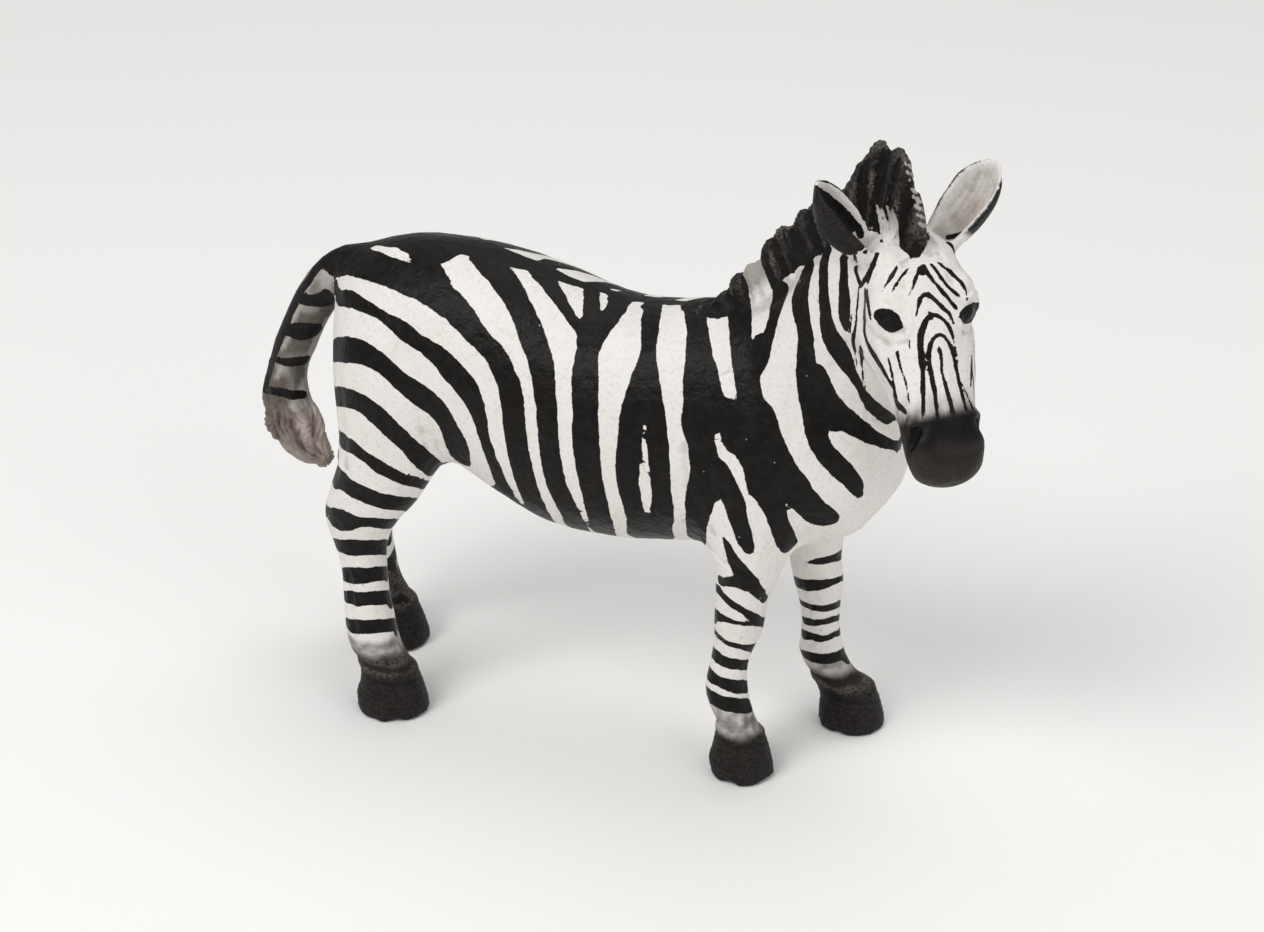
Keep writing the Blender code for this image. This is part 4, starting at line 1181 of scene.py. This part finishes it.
@dataclass(frozen=True)
class PaintedVinyl:
    """Solid PVC, moulded, sprayed satin white and painted by hand in semi-gloss black.

    The mould's fine leather grain shows under the white, the black lies in brush strokes with a few
    pinholes and ragged edges, and grey is rubbed over the hair and the pasterns.
    """

    colours: Colours = field(default_factory=Colours)
    wander_size_mm: float = 2.0
    edge_wander_mm: float = 0.30
    fray_size_mm: float = 0.45
    edge_fray_mm: float = 0.15
    edge_soft_mm: float = 0.05
    patch_mm: float = 9.0
    brush_mm: float = 1.6
    pinhole_mm: float = 2.2
    pinhole_zone_mm: float = 6.0
    white_roughness: float = 0.42
    black_roughness: float = 0.36
    specular_ior: float = 1.48
    specular_level: float = 0.14
    grain_mm: float = 0.7
    grain_share: float = 1.1
    wrinkle_mm: float = 1.7
    bump_strength: float = 0.75
    bump_mm: float = 0.22

    def material(self) -> bpy.types.Material:
        """Builds the material from the piece's attributes and object coordinates."""
        made = bpy.data.materials.new("hand_painted_moulded_vinyl")
        made.use_nodes = True
        tree = made.node_tree
        tree.nodes.clear()
        c = self.colours

        def add(kind: str, settings: dict[str, object], inputs: dict[str | int, object],
                output: str | int = 0) -> bpy.types.NodeSocket:
            """Adds a node with its settings and its inputs, which are values or other nodes' sockets.

            Args:
                kind: Blender's name for the node.
                settings: Properties to set on it.
                inputs: What goes into its sockets, by name or number.
                output: Which of its sockets to hand back.

            Returns:
                That socket.
            """
            node = tree.nodes.new(kind)
            for name, value in settings.items():
                setattr(node, name, value)
            for name, value in inputs.items():
                if isinstance(value, bpy.types.NodeSocket):
                    tree.links.new(value, node.inputs[name])
                else:
                    node.inputs[name].default_value = value
            return node.outputs[output]

        rise = {"interpolation_type": "SMOOTHSTEP"}
        colour_mix = {"data_type": "RGBA"}
        place = add("ShaderNodeTexCoord", {}, {}, "Object")
        stripe = add("ShaderNodeAttribute", {"attribute_name": "stripe"}, {}, "Fac")
        rub = add("ShaderNodeAttribute", {"attribute_name": "rub"}, {}, "Fac")
        relief = add("ShaderNodeAttribute", {"attribute_name": "relief"}, {}, "Fac")
        gloss = add("ShaderNodeAttribute", {"attribute_name": "gloss"}, {}, "Fac")
        coat = add("ShaderNodeAttribute", {"attribute_name": "coat"}, {}, "Color")

        # The brush's edge wanders slowly and frays finely
        slow = add("ShaderNodeTexNoise", {},
                   {"Vector": place, "Scale": 1000 / self.wander_size_mm, "Detail": 2.0})
        fine = add("ShaderNodeTexNoise", {},
                   {"Vector": place, "Scale": 1000 / self.fray_size_mm, "Detail": 3.0, "Roughness": 0.7})
        wander = add("ShaderNodeMath", {"operation": "MULTIPLY_ADD"},
                     {0: slow, 1: 2 * self.edge_wander_mm, 2: -self.edge_wander_mm})
        fray = add("ShaderNodeMath", {"operation": "MULTIPLY_ADD"},
                   {0: fine, 1: 2 * self.edge_fray_mm, 2: -self.edge_fray_mm})
        ragged = add("ShaderNodeMath", {"operation": "ADD"}, {0: wander, 1: fray})
        edge = add("ShaderNodeMath", {"operation": "ADD"}, {0: stripe, 1: ragged})
        black_mask = add("ShaderNodeMapRange", rise, {0: edge, 1: self.edge_soft_mm, 2: -self.edge_soft_mm})

        # White paint: thin creamy patches, darker pits in the grain, and grey painted shade in the hollows
        # and creases
        cloud = add("ShaderNodeTexNoise", {}, {"Vector": place, "Scale": 1000 / self.patch_mm, "Detail": 4.0})
        patches = add("ShaderNodeMapRange", rise, {0: cloud, 1: 0.42, 2: 0.72, 3: 0.0, 4: 0.22})
        white = add("ShaderNodeMix", colour_mix | {"blend_type": "MULTIPLY"},
                    {0: patches, 6: coat, 7: to_linear(c.cream)}, 2)
        grain = add("ShaderNodeTexNoise", {}, {"Vector": place, "Scale": 1000 / self.grain_mm, "Detail": 3.0,
                                               "Roughness": 0.6})
        pits = add("ShaderNodeMapRange", rise, {0: grain, 1: 0.5, 2: 0.3, 3: 0.0, 4: 0.16})
        # Painted shade: the white goes grey where the relief sinks into creases and hollows
        hollow = add("ShaderNodeMapRange", rise, {0: relief, 1: -0.05, 2: -0.7, 3: 0.0, 4: 0.4})
        pits_and_painted_shade = add("ShaderNodeMath", {"operation": "ADD"}, {0: pits, 1: hollow})
        pitted_and_shaded_white = add("ShaderNodeMix", colour_mix | {"blend_type": "MULTIPLY"},
                     {0: pits_and_painted_shade, 6: white, 7: to_linear(c.pit_and_shade_grey)}, 2)

        # Black paint: brush marks in two depths of black, and dusty high spots
        marks = add("ShaderNodeTexNoise", {}, {"Vector": place, "Scale": 1000 / self.brush_mm, "Detail": 4.0,
                                               "Roughness": 0.6})
        depth = add("ShaderNodeMapRange", rise, {0: marks, 1: 0.35, 2: 0.7})
        brushed = add("ShaderNodeMix", colour_mix,
                      {0: depth, 6: to_linear(c.black), 7: to_linear(c.thin_black)}, 2)
        pattern = add("ShaderNodeMix", colour_mix, {0: black_mask, 6: pitted_and_shaded_white, 7: brushed}, 2)

        # Pinholes where the black missed the mould's grain
        spot = add("ShaderNodeTexVoronoi", {}, {"Vector": place, "Scale": 1000 / self.pinhole_mm}, "Distance")
        tiny = add("ShaderNodeMapRange", rise, {0: spot, 1: 0.075, 2: 0.04})
        zone = add("ShaderNodeTexNoise", {}, {"Vector": place, "Scale": 1000 / self.pinhole_zone_mm})
        some = add("ShaderNodeMapRange", rise, {0: zone, 1: 0.61, 2: 0.65})
        inside = add("ShaderNodeMapRange", rise, {0: edge, 1: -0.2, 2: -0.5})
        open_spots = add("ShaderNodeMath", {"operation": "MULTIPLY"}, {0: tiny, 1: some})
        glossy_spots = add("ShaderNodeMath", {"operation": "MULTIPLY"}, {0: inside, 1: gloss})
        missed = add("ShaderNodeMath", {"operation": "MULTIPLY"}, {0: open_spots, 1: glossy_spots})
        holed = add("ShaderNodeMix", colour_mix, {0: missed, 6: pattern, 7: to_linear(c.pale_grey)}, 2)

        # Grey rubbed over raised hair with a dry brush
        streak = add("ShaderNodeMapRange", rise, {0: fine, 1: 0.36, 2: 0.6})
        raised = add("ShaderNodeMapRange", rise, {0: relief, 1: 0.02, 2: 0.5})
        touched = add("ShaderNodeMath", {"operation": "MULTIPLY"}, {0: streak, 1: raised})
        rubbed = add("ShaderNodeMath", {"operation": "MULTIPLY", "use_clamp": True}, {0: touched, 1: rub})
        painted = add("ShaderNodeMix", colour_mix, {0: rubbed, 6: holed, 7: to_linear(c.dry_brush)}, 2)

        # Relief too fine for the mesh: the mould's leather grain, and creases that the black shows
        crease = add("ShaderNodeTexVoronoi", {"feature": "SMOOTH_F1"},
                     {"Vector": place, "Scale": 1000 / self.wrinkle_mm, "Smoothness": 0.5}, "Distance")
        creased = add("ShaderNodeMapRange", rise, {0: zone, 1: 0.4, 2: 0.6, 3: 0.35, 4: 1.0})
        creases = add("ShaderNodeMath", {"operation": "MULTIPLY"}, {0: crease, 1: creased})
        height = add("ShaderNodeMath", {"operation": "MULTIPLY_ADD"},
                     {0: grain, 1: self.grain_share, 2: creases})
        bump = add("ShaderNodeBump", {}, {"Strength": self.bump_strength, "Distance": self.bump_mm * MM,
                                          "Height": height}, "Normal")

        # Satin white, semi-gloss black, and duller where the paint is rubbed
        paint = add("ShaderNodeMapRange", rise, {0: black_mask, 1: 0.0, 2: 1.0, 3: self.white_roughness,
                                                 4: self.black_roughness})
        uneven = add("ShaderNodeMath", {"operation": "MULTIPLY_ADD"}, {0: marks, 1: 0.16, 2: paint})
        dull = add("ShaderNodeMath", {"operation": "MULTIPLY_ADD"}, {0: gloss, 1: -0.22, 2: 0.14})
        roughness = add("ShaderNodeMath", {"operation": "ADD", "use_clamp": True}, {0: uneven, 1: dull})
        shader = add("ShaderNodeBsdfPrincipled", {}, {
            "Base Color": painted, "Roughness": roughness, "Normal": bump, "IOR": self.specular_ior,
            "Specular IOR Level": self.specular_level})
        finished = tree.nodes.new("ShaderNodeOutputMaterial")
        tree.links.new(shader, finished.inputs["Surface"])
        return made


@dataclass
class Figurine:
    """The whole figure: one piece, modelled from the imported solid, carved, and painted."""

    node: bpy.types.Object
    camera: PhotoCamera
    grain_mm: float = 0.32
    quad_angle: float = math.radians(40.0)
    round_levels: int = 2
    soft_rounds: int = 4
    body_rounds: int = 40
    triangles: int = 105000
    fine_weight: float = 0.93
    fine_factor: float = 0.05
    edge_limits: tuple[float, ...] = (1.8, 1.2)
    leg_top: float = 46.0
    leg_share: float = 0.7
    cap: float = 2.5
    head_radii: tuple[float, float] = (14.0, 17.0)
    head_back: tuple[float, float] = (-16.0, -10.0)
    ear_feet: tuple[float, float] = (104.0, 107.0)
    ears_ahead_of: float = 40.0
    tuft_heights: tuple[float, float] = (52.0, 60.0)
    leg_heights: tuple[float, float] = (40.0, 48.0)
    skin_heights: tuple[float, float] = (0.05, 0.028)
    sole_height: float = 0.22
    inset: float = 0.01
    relief_smoothing: int = 4
    relief_rounds: int = 2
    relief_gain: float = 12.0
    head: HeadAxes = field(default_factory=HeadAxes)
    mane: Mane = field(default_factory=Mane)
    tail: TailHair = field(default_factory=TailHair)
    finish: PaintedVinyl = field(default_factory=PaintedVinyl)

    def build(self) -> bpy.types.Object:
        """Makes the finished piece."""
        piece = self.blank()
        self.carve(piece)
        self.thin_out(piece)
        self.flatten_soles(piece)
        self.paint(piece)
        piece.data.materials.clear()
        piece.data.materials.append(self.finish.material())
        piece.data.shade_smooth()
        return piece

    def blank(self) -> bpy.types.Object:
        """A smooth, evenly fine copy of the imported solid."""
        piece = bpy.data.objects.new("zebra_figurine", self.node.data.copy())
        bpy.context.scene.collection.objects.link(piece)
        bpy.ops.object.select_all(action="DESELECT")
        piece.select_set(True)
        bpy.context.view_layer.objects.active = piece
        bpy.ops.object.mode_set(mode="EDIT")
        bpy.ops.mesh.select_all(action="SELECT")
        bpy.ops.mesh.remove_doubles(threshold=1e-6)
        bpy.ops.mesh.tris_convert_to_quads(face_threshold=self.quad_angle, shape_threshold=self.quad_angle)
        bpy.ops.object.mode_set(mode="OBJECT")
        rounder = piece.modifiers.new("rounded", "SUBSURF")
        rounder.levels = self.round_levels
        rounder.render_levels = self.round_levels
        fine = piece.modifiers.new("fine", "REMESH")
        fine.mode = "VOXEL"
        fine.voxel_size = self.grain_mm * MM
        soft = piece.modifiers.new("soft", "SMOOTH")
        soft.iterations = self.soft_rounds
        for modifier in ("rounded", "fine", "soft"):
            bpy.ops.object.modifier_apply(modifier=modifier)
        self.smooth_body(piece)
        return piece

    def smooth_body(self, piece: bpy.types.Object) -> None:
        """Takes the facets off the trunk and legs, and leaves head, mane and tail as they are."""
        group = piece.vertex_groups.new(name="body")
        weights = 1.0 - self.fineness(self.places(piece))
        for level in range(1, 11):
            chosen = np.flatnonzero(np.round(weights * 10) == level)
            group.add(chosen.tolist(), level / 10, "REPLACE")
        soft = piece.modifiers.new("body", "SMOOTH")
        soft.iterations = self.body_rounds
        soft.vertex_group = group.name
        bpy.ops.object.modifier_apply(modifier="body")
        piece.vertex_groups.clear()

    def places(self, piece: bpy.types.Object) -> Floats:
        """The piece's vertices, in millimetres."""
        found = np.empty(len(piece.data.vertices) * 3)
        piece.data.vertices.foreach_get("co", found)
        return found.reshape(-1, 3) / MM

    def move(self, piece: bpy.types.Object, places: Floats) -> None:
        """Puts the piece's vertices at these places, in millimetres."""
        piece.data.vertices.foreach_set("co", (places * MM).ravel())
        piece.data.update()

    def normals(self, piece: bpy.types.Object) -> Floats:
        """The piece's vertex normals."""
        found = np.empty(len(piece.data.vertices) * 3)
        piece.data.vertices.foreach_get("normal", found)
        return found.reshape(-1, 3)

    def fineness(self, points: Floats) -> Floats:
        """One where the form is fine: head, ears, mane and tail tuft; zero on trunk and legs."""
        along, out, left = self.head.coordinates(points).T
        height = points[:, 2]
        head = 1.0 - smooth_step(*self.head_radii, np.sqrt(out ** 2 + left ** 2))
        head = head * smooth_step(*self.head_back, along)
        ears = smooth_step(*self.ear_feet, height) * (points[:, 0] > self.ears_ahead_of)
        on_mane, _, _ = self.mane.coordinates(points)
        tail = self.tail.on_tail(points) * (1.0 - smooth_step(*self.tuft_heights, height))
        legs = 0.5 * (1.0 - smooth_step(*self.leg_heights, height))
        return np.clip(np.max([head, ears, on_mane, tail, legs], axis=0), 0.0, 1.0)

    def marks(self) -> list[tuple[Floats, float, float]]:
        """Every tool mark, as its path in the part's frame, its reach and its height."""
        median = Median()
        found = []
        for tool in FACE_MARKS:
            for hand in (1, -1):
                path = np.array([self.head.point(s, o, l * hand) for s, o, l in tool.path])
                found.append((path, tool.reach, tool.height))
        for tool in FACE_MIDLINE_MARKS:
            found.append((np.array([self.head.point(*p) for p in tool.path]), tool.reach, tool.height))
        for tool in BODY_MARKS:
            path = placed(tool.path)
            found += [(path, tool.reach, tool.height), (median.mirrored(path), tool.reach, tool.height)]
        for leg in LEGS:
            found += [(placed(tool.path), tool.reach, tool.height) for tool in leg.marks()]
        return found

    def carve(self, piece: bpy.types.Object) -> None:
        """Carves folds, lids, tendons, hooves and hair into the piece."""
        places = self.places(piece)
        for path, reach, height in self.marks():
            normals = self.normals(piece)
            low, high = path.min(axis=0) - reach, path.max(axis=0) + reach
            near = np.flatnonzero(np.all((places > low) & (places < high), axis=1))
            if not len(near):
                continue
            away, _ = nearest_on_path(places[near], path)
            push = np.clip(1.0 - (away / reach) ** 2, 0.0, 1.0) ** 2 * height
            places[near] += normals[near] * push[:, None]
            self.move(piece, places)
        normals = self.normals(piece)
        lift, on_mane = self.mane.lift(places)
        tail_lift, on_tail = self.tail.lift(places)
        lift = lift + tail_lift * (1 - on_mane)
        for hand in (1, -1):
            lift += Ear(self.head, hand).lift(places)
        for leg in LEGS:
            lift += leg.hoof_lift(places)
        skin = np.clip(1.0 - on_mane - on_tail, 0.0, 1.0)
        broad, small = self.skin_heights
        lift += skin * (broad * Grain(4.5, 41).at(places) + small * Grain(1.7, 42).at(places))
        self.move(piece, places + normals * lift[:, None])

    def thin_out(self, piece: bpy.types.Object) -> None:
        """Keeps the piece within its triangles, with most of them where the form is fine."""
        group = piece.vertex_groups.new(name="plain")
        plain = 1.0 - self.fineness(self.places(piece))
        weights = self.fine_weight + (1.0 - self.fine_weight) * plain
        steps = np.round(weights * 200).astype(int)
        for step in np.unique(steps):
            group.add(np.flatnonzero(steps == step).tolist(), step / 200, "REPLACE")
        piece.data.calc_loop_triangles()
        thin = piece.modifiers.new("thin", "DECIMATE")
        thin.ratio = self.triangles / len(piece.data.loop_triangles)
        thin.vertex_group = group.name
        thin.vertex_group_factor = self.fine_factor
        bpy.ops.object.modifier_apply(modifier="thin")
        piece.vertex_groups.clear()
        log.info("thinned to %d faces", len(piece.data.polygons))
        for limit in self.edge_limits:
            self.split_edges(piece, limit)
        log.info("split to %d faces", len(piece.data.polygons))

    def split_edges(self, piece: bpy.types.Object, limit: float) -> None:
        """Halves the edges longer than limit, so that no face is wider than a gap in the paint."""
        mesh = piece.data
        places = self.places(piece)
        ends = np.empty(len(mesh.edges) * 2, dtype=int)
        mesh.edges.foreach_get("vertices", ends)
        first, second = ends.reshape(-1, 2).T
        legs = places[first, 2] < self.leg_top
        allowed = np.where(legs, limit * self.leg_share, limit)
        chosen = np.linalg.norm(places[first] - places[second], axis=1) > allowed
        for items in (mesh.vertices, mesh.polygons):
            items.foreach_set("select", np.zeros(len(items), dtype=bool))
        mesh.edges.foreach_set("select", chosen)
        bpy.ops.object.mode_set(mode="EDIT")
        bpy.ops.mesh.select_mode(type="EDGE")
        bpy.ops.mesh.subdivide(number_cuts=1)
        bpy.ops.mesh.select_all(action="SELECT")
        bpy.ops.mesh.quads_convert_to_tris(quad_method="SHORTEST_DIAGONAL", ngon_method="BEAUTY")
        bpy.ops.object.mode_set(mode="OBJECT")

    def flatten_soles(self, piece: bpy.types.Object) -> None:
        """Puts the soles back on the ground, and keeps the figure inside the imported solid's box."""
        low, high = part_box("zebra")
        places = self.places(piece)
        places[places[:, 2] < self.sole_height, 2] = 0.0
        lowest = np.array(low) / MM + (self.inset, self.inset, 0.0)
        self.move(piece, np.clip(places, lowest, np.array(high) / MM - self.inset))

    def relief(self, piece: bpy.types.Object) -> Floats:
        """How far each place stands out from its surroundings: above zero on ridges, below in hollows."""
        places, normals = self.places(piece), self.normals(piece)
        ends = np.empty(len(piece.data.edges) * 2, dtype=int)
        piece.data.edges.foreach_get("vertices", ends)
        first, second = ends.reshape(-1, 2).T
        count = np.bincount(first, minlength=len(places)) + np.bincount(second, minlength=len(places))
        count = np.maximum(count, 1)

        def spread(values: Floats) -> Floats:
            """The mean of each vertex's neighbours."""
            total = np.zeros_like(values)
            np.add.at(total, first, values[second])
            np.add.at(total, second, values[first])
            return total / (count[:, None] if values.ndim > 1 else count)

        smooth = places
        for _ in range(self.relief_smoothing):
            smooth = 0.5 * smooth + 0.5 * spread(smooth)
        stand_out = np.sum((places - smooth) * normals, axis=1)
        for _ in range(self.relief_rounds):
            stand_out = 0.5 * stand_out + 0.5 * spread(stand_out)
        return stand_out

    def paint(self, piece: bpy.types.Object) -> None:
        """Works out every attribute that the material reads."""
        places = self.places(piece)
        faces = [tuple(face.vertices) for face in piece.data.polygons]
        brush = Brush(Surface(places, faces, self.camera))
        on_mane, _, up = self.mane.coordinates(places)
        on_tail = self.tail.on_tail(places)
        body = self.pattern(brush, places, TRUNK_STROKES + HEAD_STROKES + HIND_BANDS + NEAR_FORE_BANDS
                            + FAR_FORE_BANDS, self.cap)
        mane = self.pattern(brush, places, MANE_STROKES + TUFT_STROKES + FRONT_TICKS, -self.cap)
        tail = self.pattern(brush, places, TAIL_STROKES, self.cap)
        # The near ear is black but for its pale strip: black paint on its back, and painted shade filling the
        # inside of its cup
        near_ear_black_and_shade = self.pattern(brush, places, EAR_STROKES, -self.cap)
        far_ear = np.full(len(places), self.cap)
        stripe = np.where(on_mane > 0.5, mane, body)
        stripe = np.where(on_tail > 0.5, tail, stripe)
        coat = Coat(places, self.head, self.finish.colours)
        coat.paint_legs()
        coat.paint_muzzle()
        coat.paint_tail(on_tail, self.pattern(brush, places, TAIL_PATCHES, self.cap))
        coat.paint_mane(on_mane, up)
        coat.paint_ears()
        rub = np.where((on_tail > 0.5) & (stripe < 0.2), 0.0, coat.rub)
        relief = np.clip(self.relief(piece) * self.relief_gain, -1.0, 1.0)
        for hand, ear in ((1, far_ear), (-1, near_ear_black_and_shade)):
            stripe = np.where(Ear(self.head, hand).on_ear(places) > 0.5, ear, stripe)
        self.write(piece, "stripe", stripe)
        self.write(piece, "rub", rub)
        self.write(piece, "relief", relief)
        self.write(piece, "gloss", coat.gloss)
        colour = piece.data.attributes.new("coat", "FLOAT_COLOR", "POINT")
        colour.data.foreach_set("color", np.column_stack([coat.colour, np.ones(len(places))]).ravel())

    def write(self, piece: bpy.types.Object, name: str, values: Floats) -> None:
        """Stores one number for each vertex."""
        attribute = piece.data.attributes.new(name, "FLOAT", "POINT")
        attribute.data.foreach_set("value", values.astype(np.float32))

    def pattern(self, brush: Brush, places: Floats, strokes: tuple[Stroke, ...], ground: float) -> Floats:
        """How far each place is outside the black, below zero inside it.

        Args:
            brush: Lays the strokes.
            places: The places to ask for.
            strokes: The strokes, in the order that they are painted.
            ground: The value before any stroke.

        Returns:
            One distance for each place, in millimetres.
        """
        found = np.full(len(places), ground)
        for stroke in strokes:
            for layer in brush.laid(stroke):
                away = layer.away(places, self.cap)
                if stroke.ink is Ink.BLACK:
                    found = np.minimum(found, away)
                else:
                    found = np.maximum(found, -away)
        return found


class Coat:
    """The paint below the stripes: its colour, how much grey is rubbed on, and how glossy it is.

    Args:
        places: The piece's vertices, in millimetres.
        head: The head's axes.
        colours: The paints.
    """

    leg_reach = 11.0

    def __init__(self, places: Floats, head: HeadAxes, colours: Colours) -> None:
        """Starts with glossy white all over."""
        self.places = places
        self.head = head
        self.height = places[:, 2] - FIGURE_SHIFT[2]
        self.along_head, self.off_face, self.left_of_face = head.coordinates(places).T
        self.tone = {name: np.array(to_linear(value)[:3]) for name, value in vars(colours).items()}
        self.colour = np.tile(self.tone["white"], (len(places), 1))
        self.rub = np.zeros(len(places))
        self.gloss = np.ones(len(places))
        self.wander = Grain(2.6, 51).at(places)
        self.fine = Grain(0.9, 52).at(places)

    def lay(self, weight: Floats, colour: str) -> None:
        """Paints one colour over the coat."""
        self.colour = self.colour + weight[:, None] * (self.tone[colour] - self.colour)

    def paint_legs(self) -> None:
        """Grey pasterns, charcoal below them, and black hooves."""
        height = self.height + 0.5 * self.wander
        frayed = height + 0.4 * self.fine
        for leg in LEGS:
            middle = leg.limb.middle(self.places[:, 2])
            near = np.linalg.norm(self.places[:, :2] - middle, axis=1) < self.leg_reach
            smudge = near * (1.0 - smooth_step(leg.grey_band - 0.4, leg.grey_band + 1.2, height))
            self.lay(smudge * np.clip(0.75 + 0.4 * self.fine, 0.0, 1.0), "pastern")
            dark = near * (1.0 - smooth_step(leg.pastern_black - 0.5, leg.pastern_black + 1.0, frayed))
            self.lay(dark, "charcoal")
            hoof = near * (1.0 - smooth_step(leg.hoof_height - 0.8, leg.hoof_height + 0.8, height))
            self.lay(hoof, "hoof")
            self.rub = np.maximum(self.rub, dark * (1 - hoof) * 0.3 + dark * hoof * 0.06)
            self.gloss = np.minimum(self.gloss, 1.0 - 0.5 * dark)

    def paint_muzzle(self) -> None:
        """A dark muzzle with a smeared grey edge, and pure black above the nostrils."""
        along, out, wander = self.along_head, self.off_face, self.wander
        side = np.abs(self.left_of_face)
        on_head = (side < 10.5) & (np.abs(out) < 14.0)
        smear = Grain(1.1, 53).at(self.places * (1, 1, 0.35))
        edge = along + 0.7 * wander + 1.1 * smear + 0.10 * side - 0.06 * out
        muzzle = on_head * smooth_step(24.2, 27.4, edge)
        self.lay(on_head * smooth_step(21.0, 25.6, along + wander + 1.4 * smear) * 0.5, "pastern")
        self.lay(muzzle, "charcoal")
        nose = smooth_step(25.0, 27.0, along) * (1.0 - smooth_step(30.0, 33.5, along + 1.5 * wander))
        self.lay(on_head * nose * smooth_step(-2.5, 0.5, out + wander), "black")
        self.rub = np.maximum(self.rub, 0.05 * muzzle)

    def paint_tail(self, on_tail: Floats, patches: Floats) -> None:
        """A brown tail with a pale root and patches, and a beige front to the tuft.

        Args:
            on_tail: One on the tail, zero elsewhere.
            patches: How far each place is outside the pale patches, below zero inside them.
        """
        tail = np.tile(self.tone["tail_brown"], (len(self.places), 1))
        tuft = 1.0 - smooth_step(50.0, 57.0, self.height)
        forward = self.places[:, 0] - TAIL.middle(self.places[:, 2])[:, 0]
        front = smooth_step(-1.0, 3.5, forward + 1.2 * self.wander)
        low = 1.0 - smooth_step(43.0, 49.0, self.height + 1.5 * self.wander)
        beige = np.clip(tuft * (0.12 + 0.88 * np.maximum(front, 0.7 * low) + 0.3 * self.fine), 0.0, 1.0)
        clouds = smooth_step(0.05, 0.6, self.wander) * (1 - tuft)
        root = smooth_step(76.0, 84.0, self.height)
        for weight, colour in (
            (tuft, "tuft_brown"),
            (beige, "tuft_beige"),
            (np.clip(0.3 * root + 0.4 * clouds, 0, 1), "pale_grey"),
            (0.6 * smooth_step(0.25, -0.25, patches), "pale_grey"),
        ):
            tail += weight[:, None] * (self.tone[colour] - tail)
        self.colour = np.where(on_tail[:, None] > 0.5, tail, self.colour)
        self.rub = np.maximum(self.rub, on_tail * (0.15 + 0.3 * tuft))
        self.gloss = np.minimum(self.gloss, 1.0 - 0.6 * on_tail)

    def paint_mane(self, on_mane: Floats, up: Floats) -> None:
        """White roots to the mane, and grey above them as far as the brow.

        Args:
            on_mane: One on the mane, zero elsewhere.
            up: The share from the root to the crest.
        """
        behind_brow = 1.0 - smooth_step(-3.0, 0.5, self.along_head)
        grey = (smooth_step(0.2, 0.5, up) * behind_brow)[:, None]
        hair = self.tone["white"] + grey * (self.tone["mane_grey"] - self.tone["white"])
        self.colour = np.where(on_mane[:, None] > 0.5, hair, self.colour)
        self.rub = np.maximum(self.rub, on_mane * (0.12 + 0.28 * smooth_step(-0.2, 0.6, self.wander)))
        self.gloss = np.minimum(self.gloss, 1.0 - 0.5 * on_mane)

    def paint_ears(self) -> None:
        """White hair inside the ears, a pinkish-brown painted shade deep down in them, and thin black on
        their backs.
        """
        for hand in (1, -1):
            ear = Ear(self.head, hand)
            share, across, _, outside = ear.coordinates(self.places)
            on_ear = ear.on_ear(self.places)
            inside = 1.0 - outside
            # Painted shade: pinkish-brown down the middle of the lower ear cup, where its hollow is deepest
            deep = inside * (1.0 - smooth_step(0.0, 2.6, np.abs(across)))
            deep = deep * (1.0 - smooth_step(0.4, 0.8, share))
            self.lay(on_ear * inside, "white")
            self.lay(on_ear * deep * 0.55, "deep_ear_shade")
            back = on_ear * smooth_step(0.62, 0.78, outside - 0.1 * self.fine)
            back = back * smooth_step(0.1, 0.22, share + 0.04 * self.wander)
            self.lay(back, "thin_black")
            self.rub = np.where(on_ear > 0.5, 0.06 * back, self.rub)
            self.gloss = np.minimum(self.gloss, 1.0 - 0.4 * on_ear)


@dataclass(frozen=True)
class Studio:
    """A plain pale floor, a pale surround and three large soft lamps."""

    floor_size: float = 3.0
    floor_colour: str = "#F4F3F1"
    surround: str = "#FFFFFF"
    surround_strength: float = 0.36
    look_at: Point = (0.0, 0.0, 0.05)
    lamps: tuple[tuple[str, Point, float, float], ...] = (
        ("key", (-0.35, -0.75, 0.95), 0.6, 8.0),
        ("fill", (0.95, -0.45, 0.55), 0.8, 3.0),
        ("top", (0.05, 0.35, 1.15), 0.9, 4.2),
    )

    def build(self) -> bpy.types.Object:
        """Makes the floor, the surround and the lamps."""
        bpy.ops.object.select_all(action="DESELECT")
        bpy.ops.mesh.primitive_plane_add(size=self.floor_size, location=(0.0, 0.0, 0.0))
        floor = bpy.context.object
        floor.name = "floor"
        matt = bpy.data.materials.new("matt_paper")
        matt.use_nodes = True
        shader = matt.node_tree.nodes["Principled BSDF"]
        shader.inputs["Base Color"].default_value = to_linear(self.floor_colour)
        shader.inputs["Roughness"].default_value = 0.9
        floor.data.materials.append(matt)
        world = bpy.data.worlds.new("surround")
        world.use_nodes = True
        background = world.node_tree.nodes["Background"]
        background.inputs["Color"].default_value = to_linear(self.surround)
        background.inputs["Strength"].default_value = self.surround_strength
        bpy.context.scene.world = world
        bpy.context.scene.view_settings.view_transform = "Standard"
        for name, place, size, power in self.lamps:
            data = bpy.data.lights.new(name, "AREA")
            data.size = size
            data.energy = power
            lamp = bpy.data.objects.new(name, data)
            bpy.context.scene.collection.objects.link(lamp)
            lamp.location = place
            lamp.rotation_mode = "QUATERNION"
            lamp.rotation_quaternion = (Vector(self.look_at) - Vector(place)).to_track_quat("-Z", "Y")
        return floor


def main() -> None:
    """Builds the figure and the studio."""
    logging.basicConfig(level=logging.INFO, format="%(name)s: %(message)s")
    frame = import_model()
    camera = PhotoCamera()
    camera.place()
    piece = Figurine(frame["nodes"]["zebra"], camera).build()
    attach(piece, "root")
    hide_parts("zebra")
    log.info("%s: %d vertices, %d faces", piece.name, len(piece.data.vertices), len(piece.data.polygons))
    Studio().build()


if __name__ == "__main__":
    main()
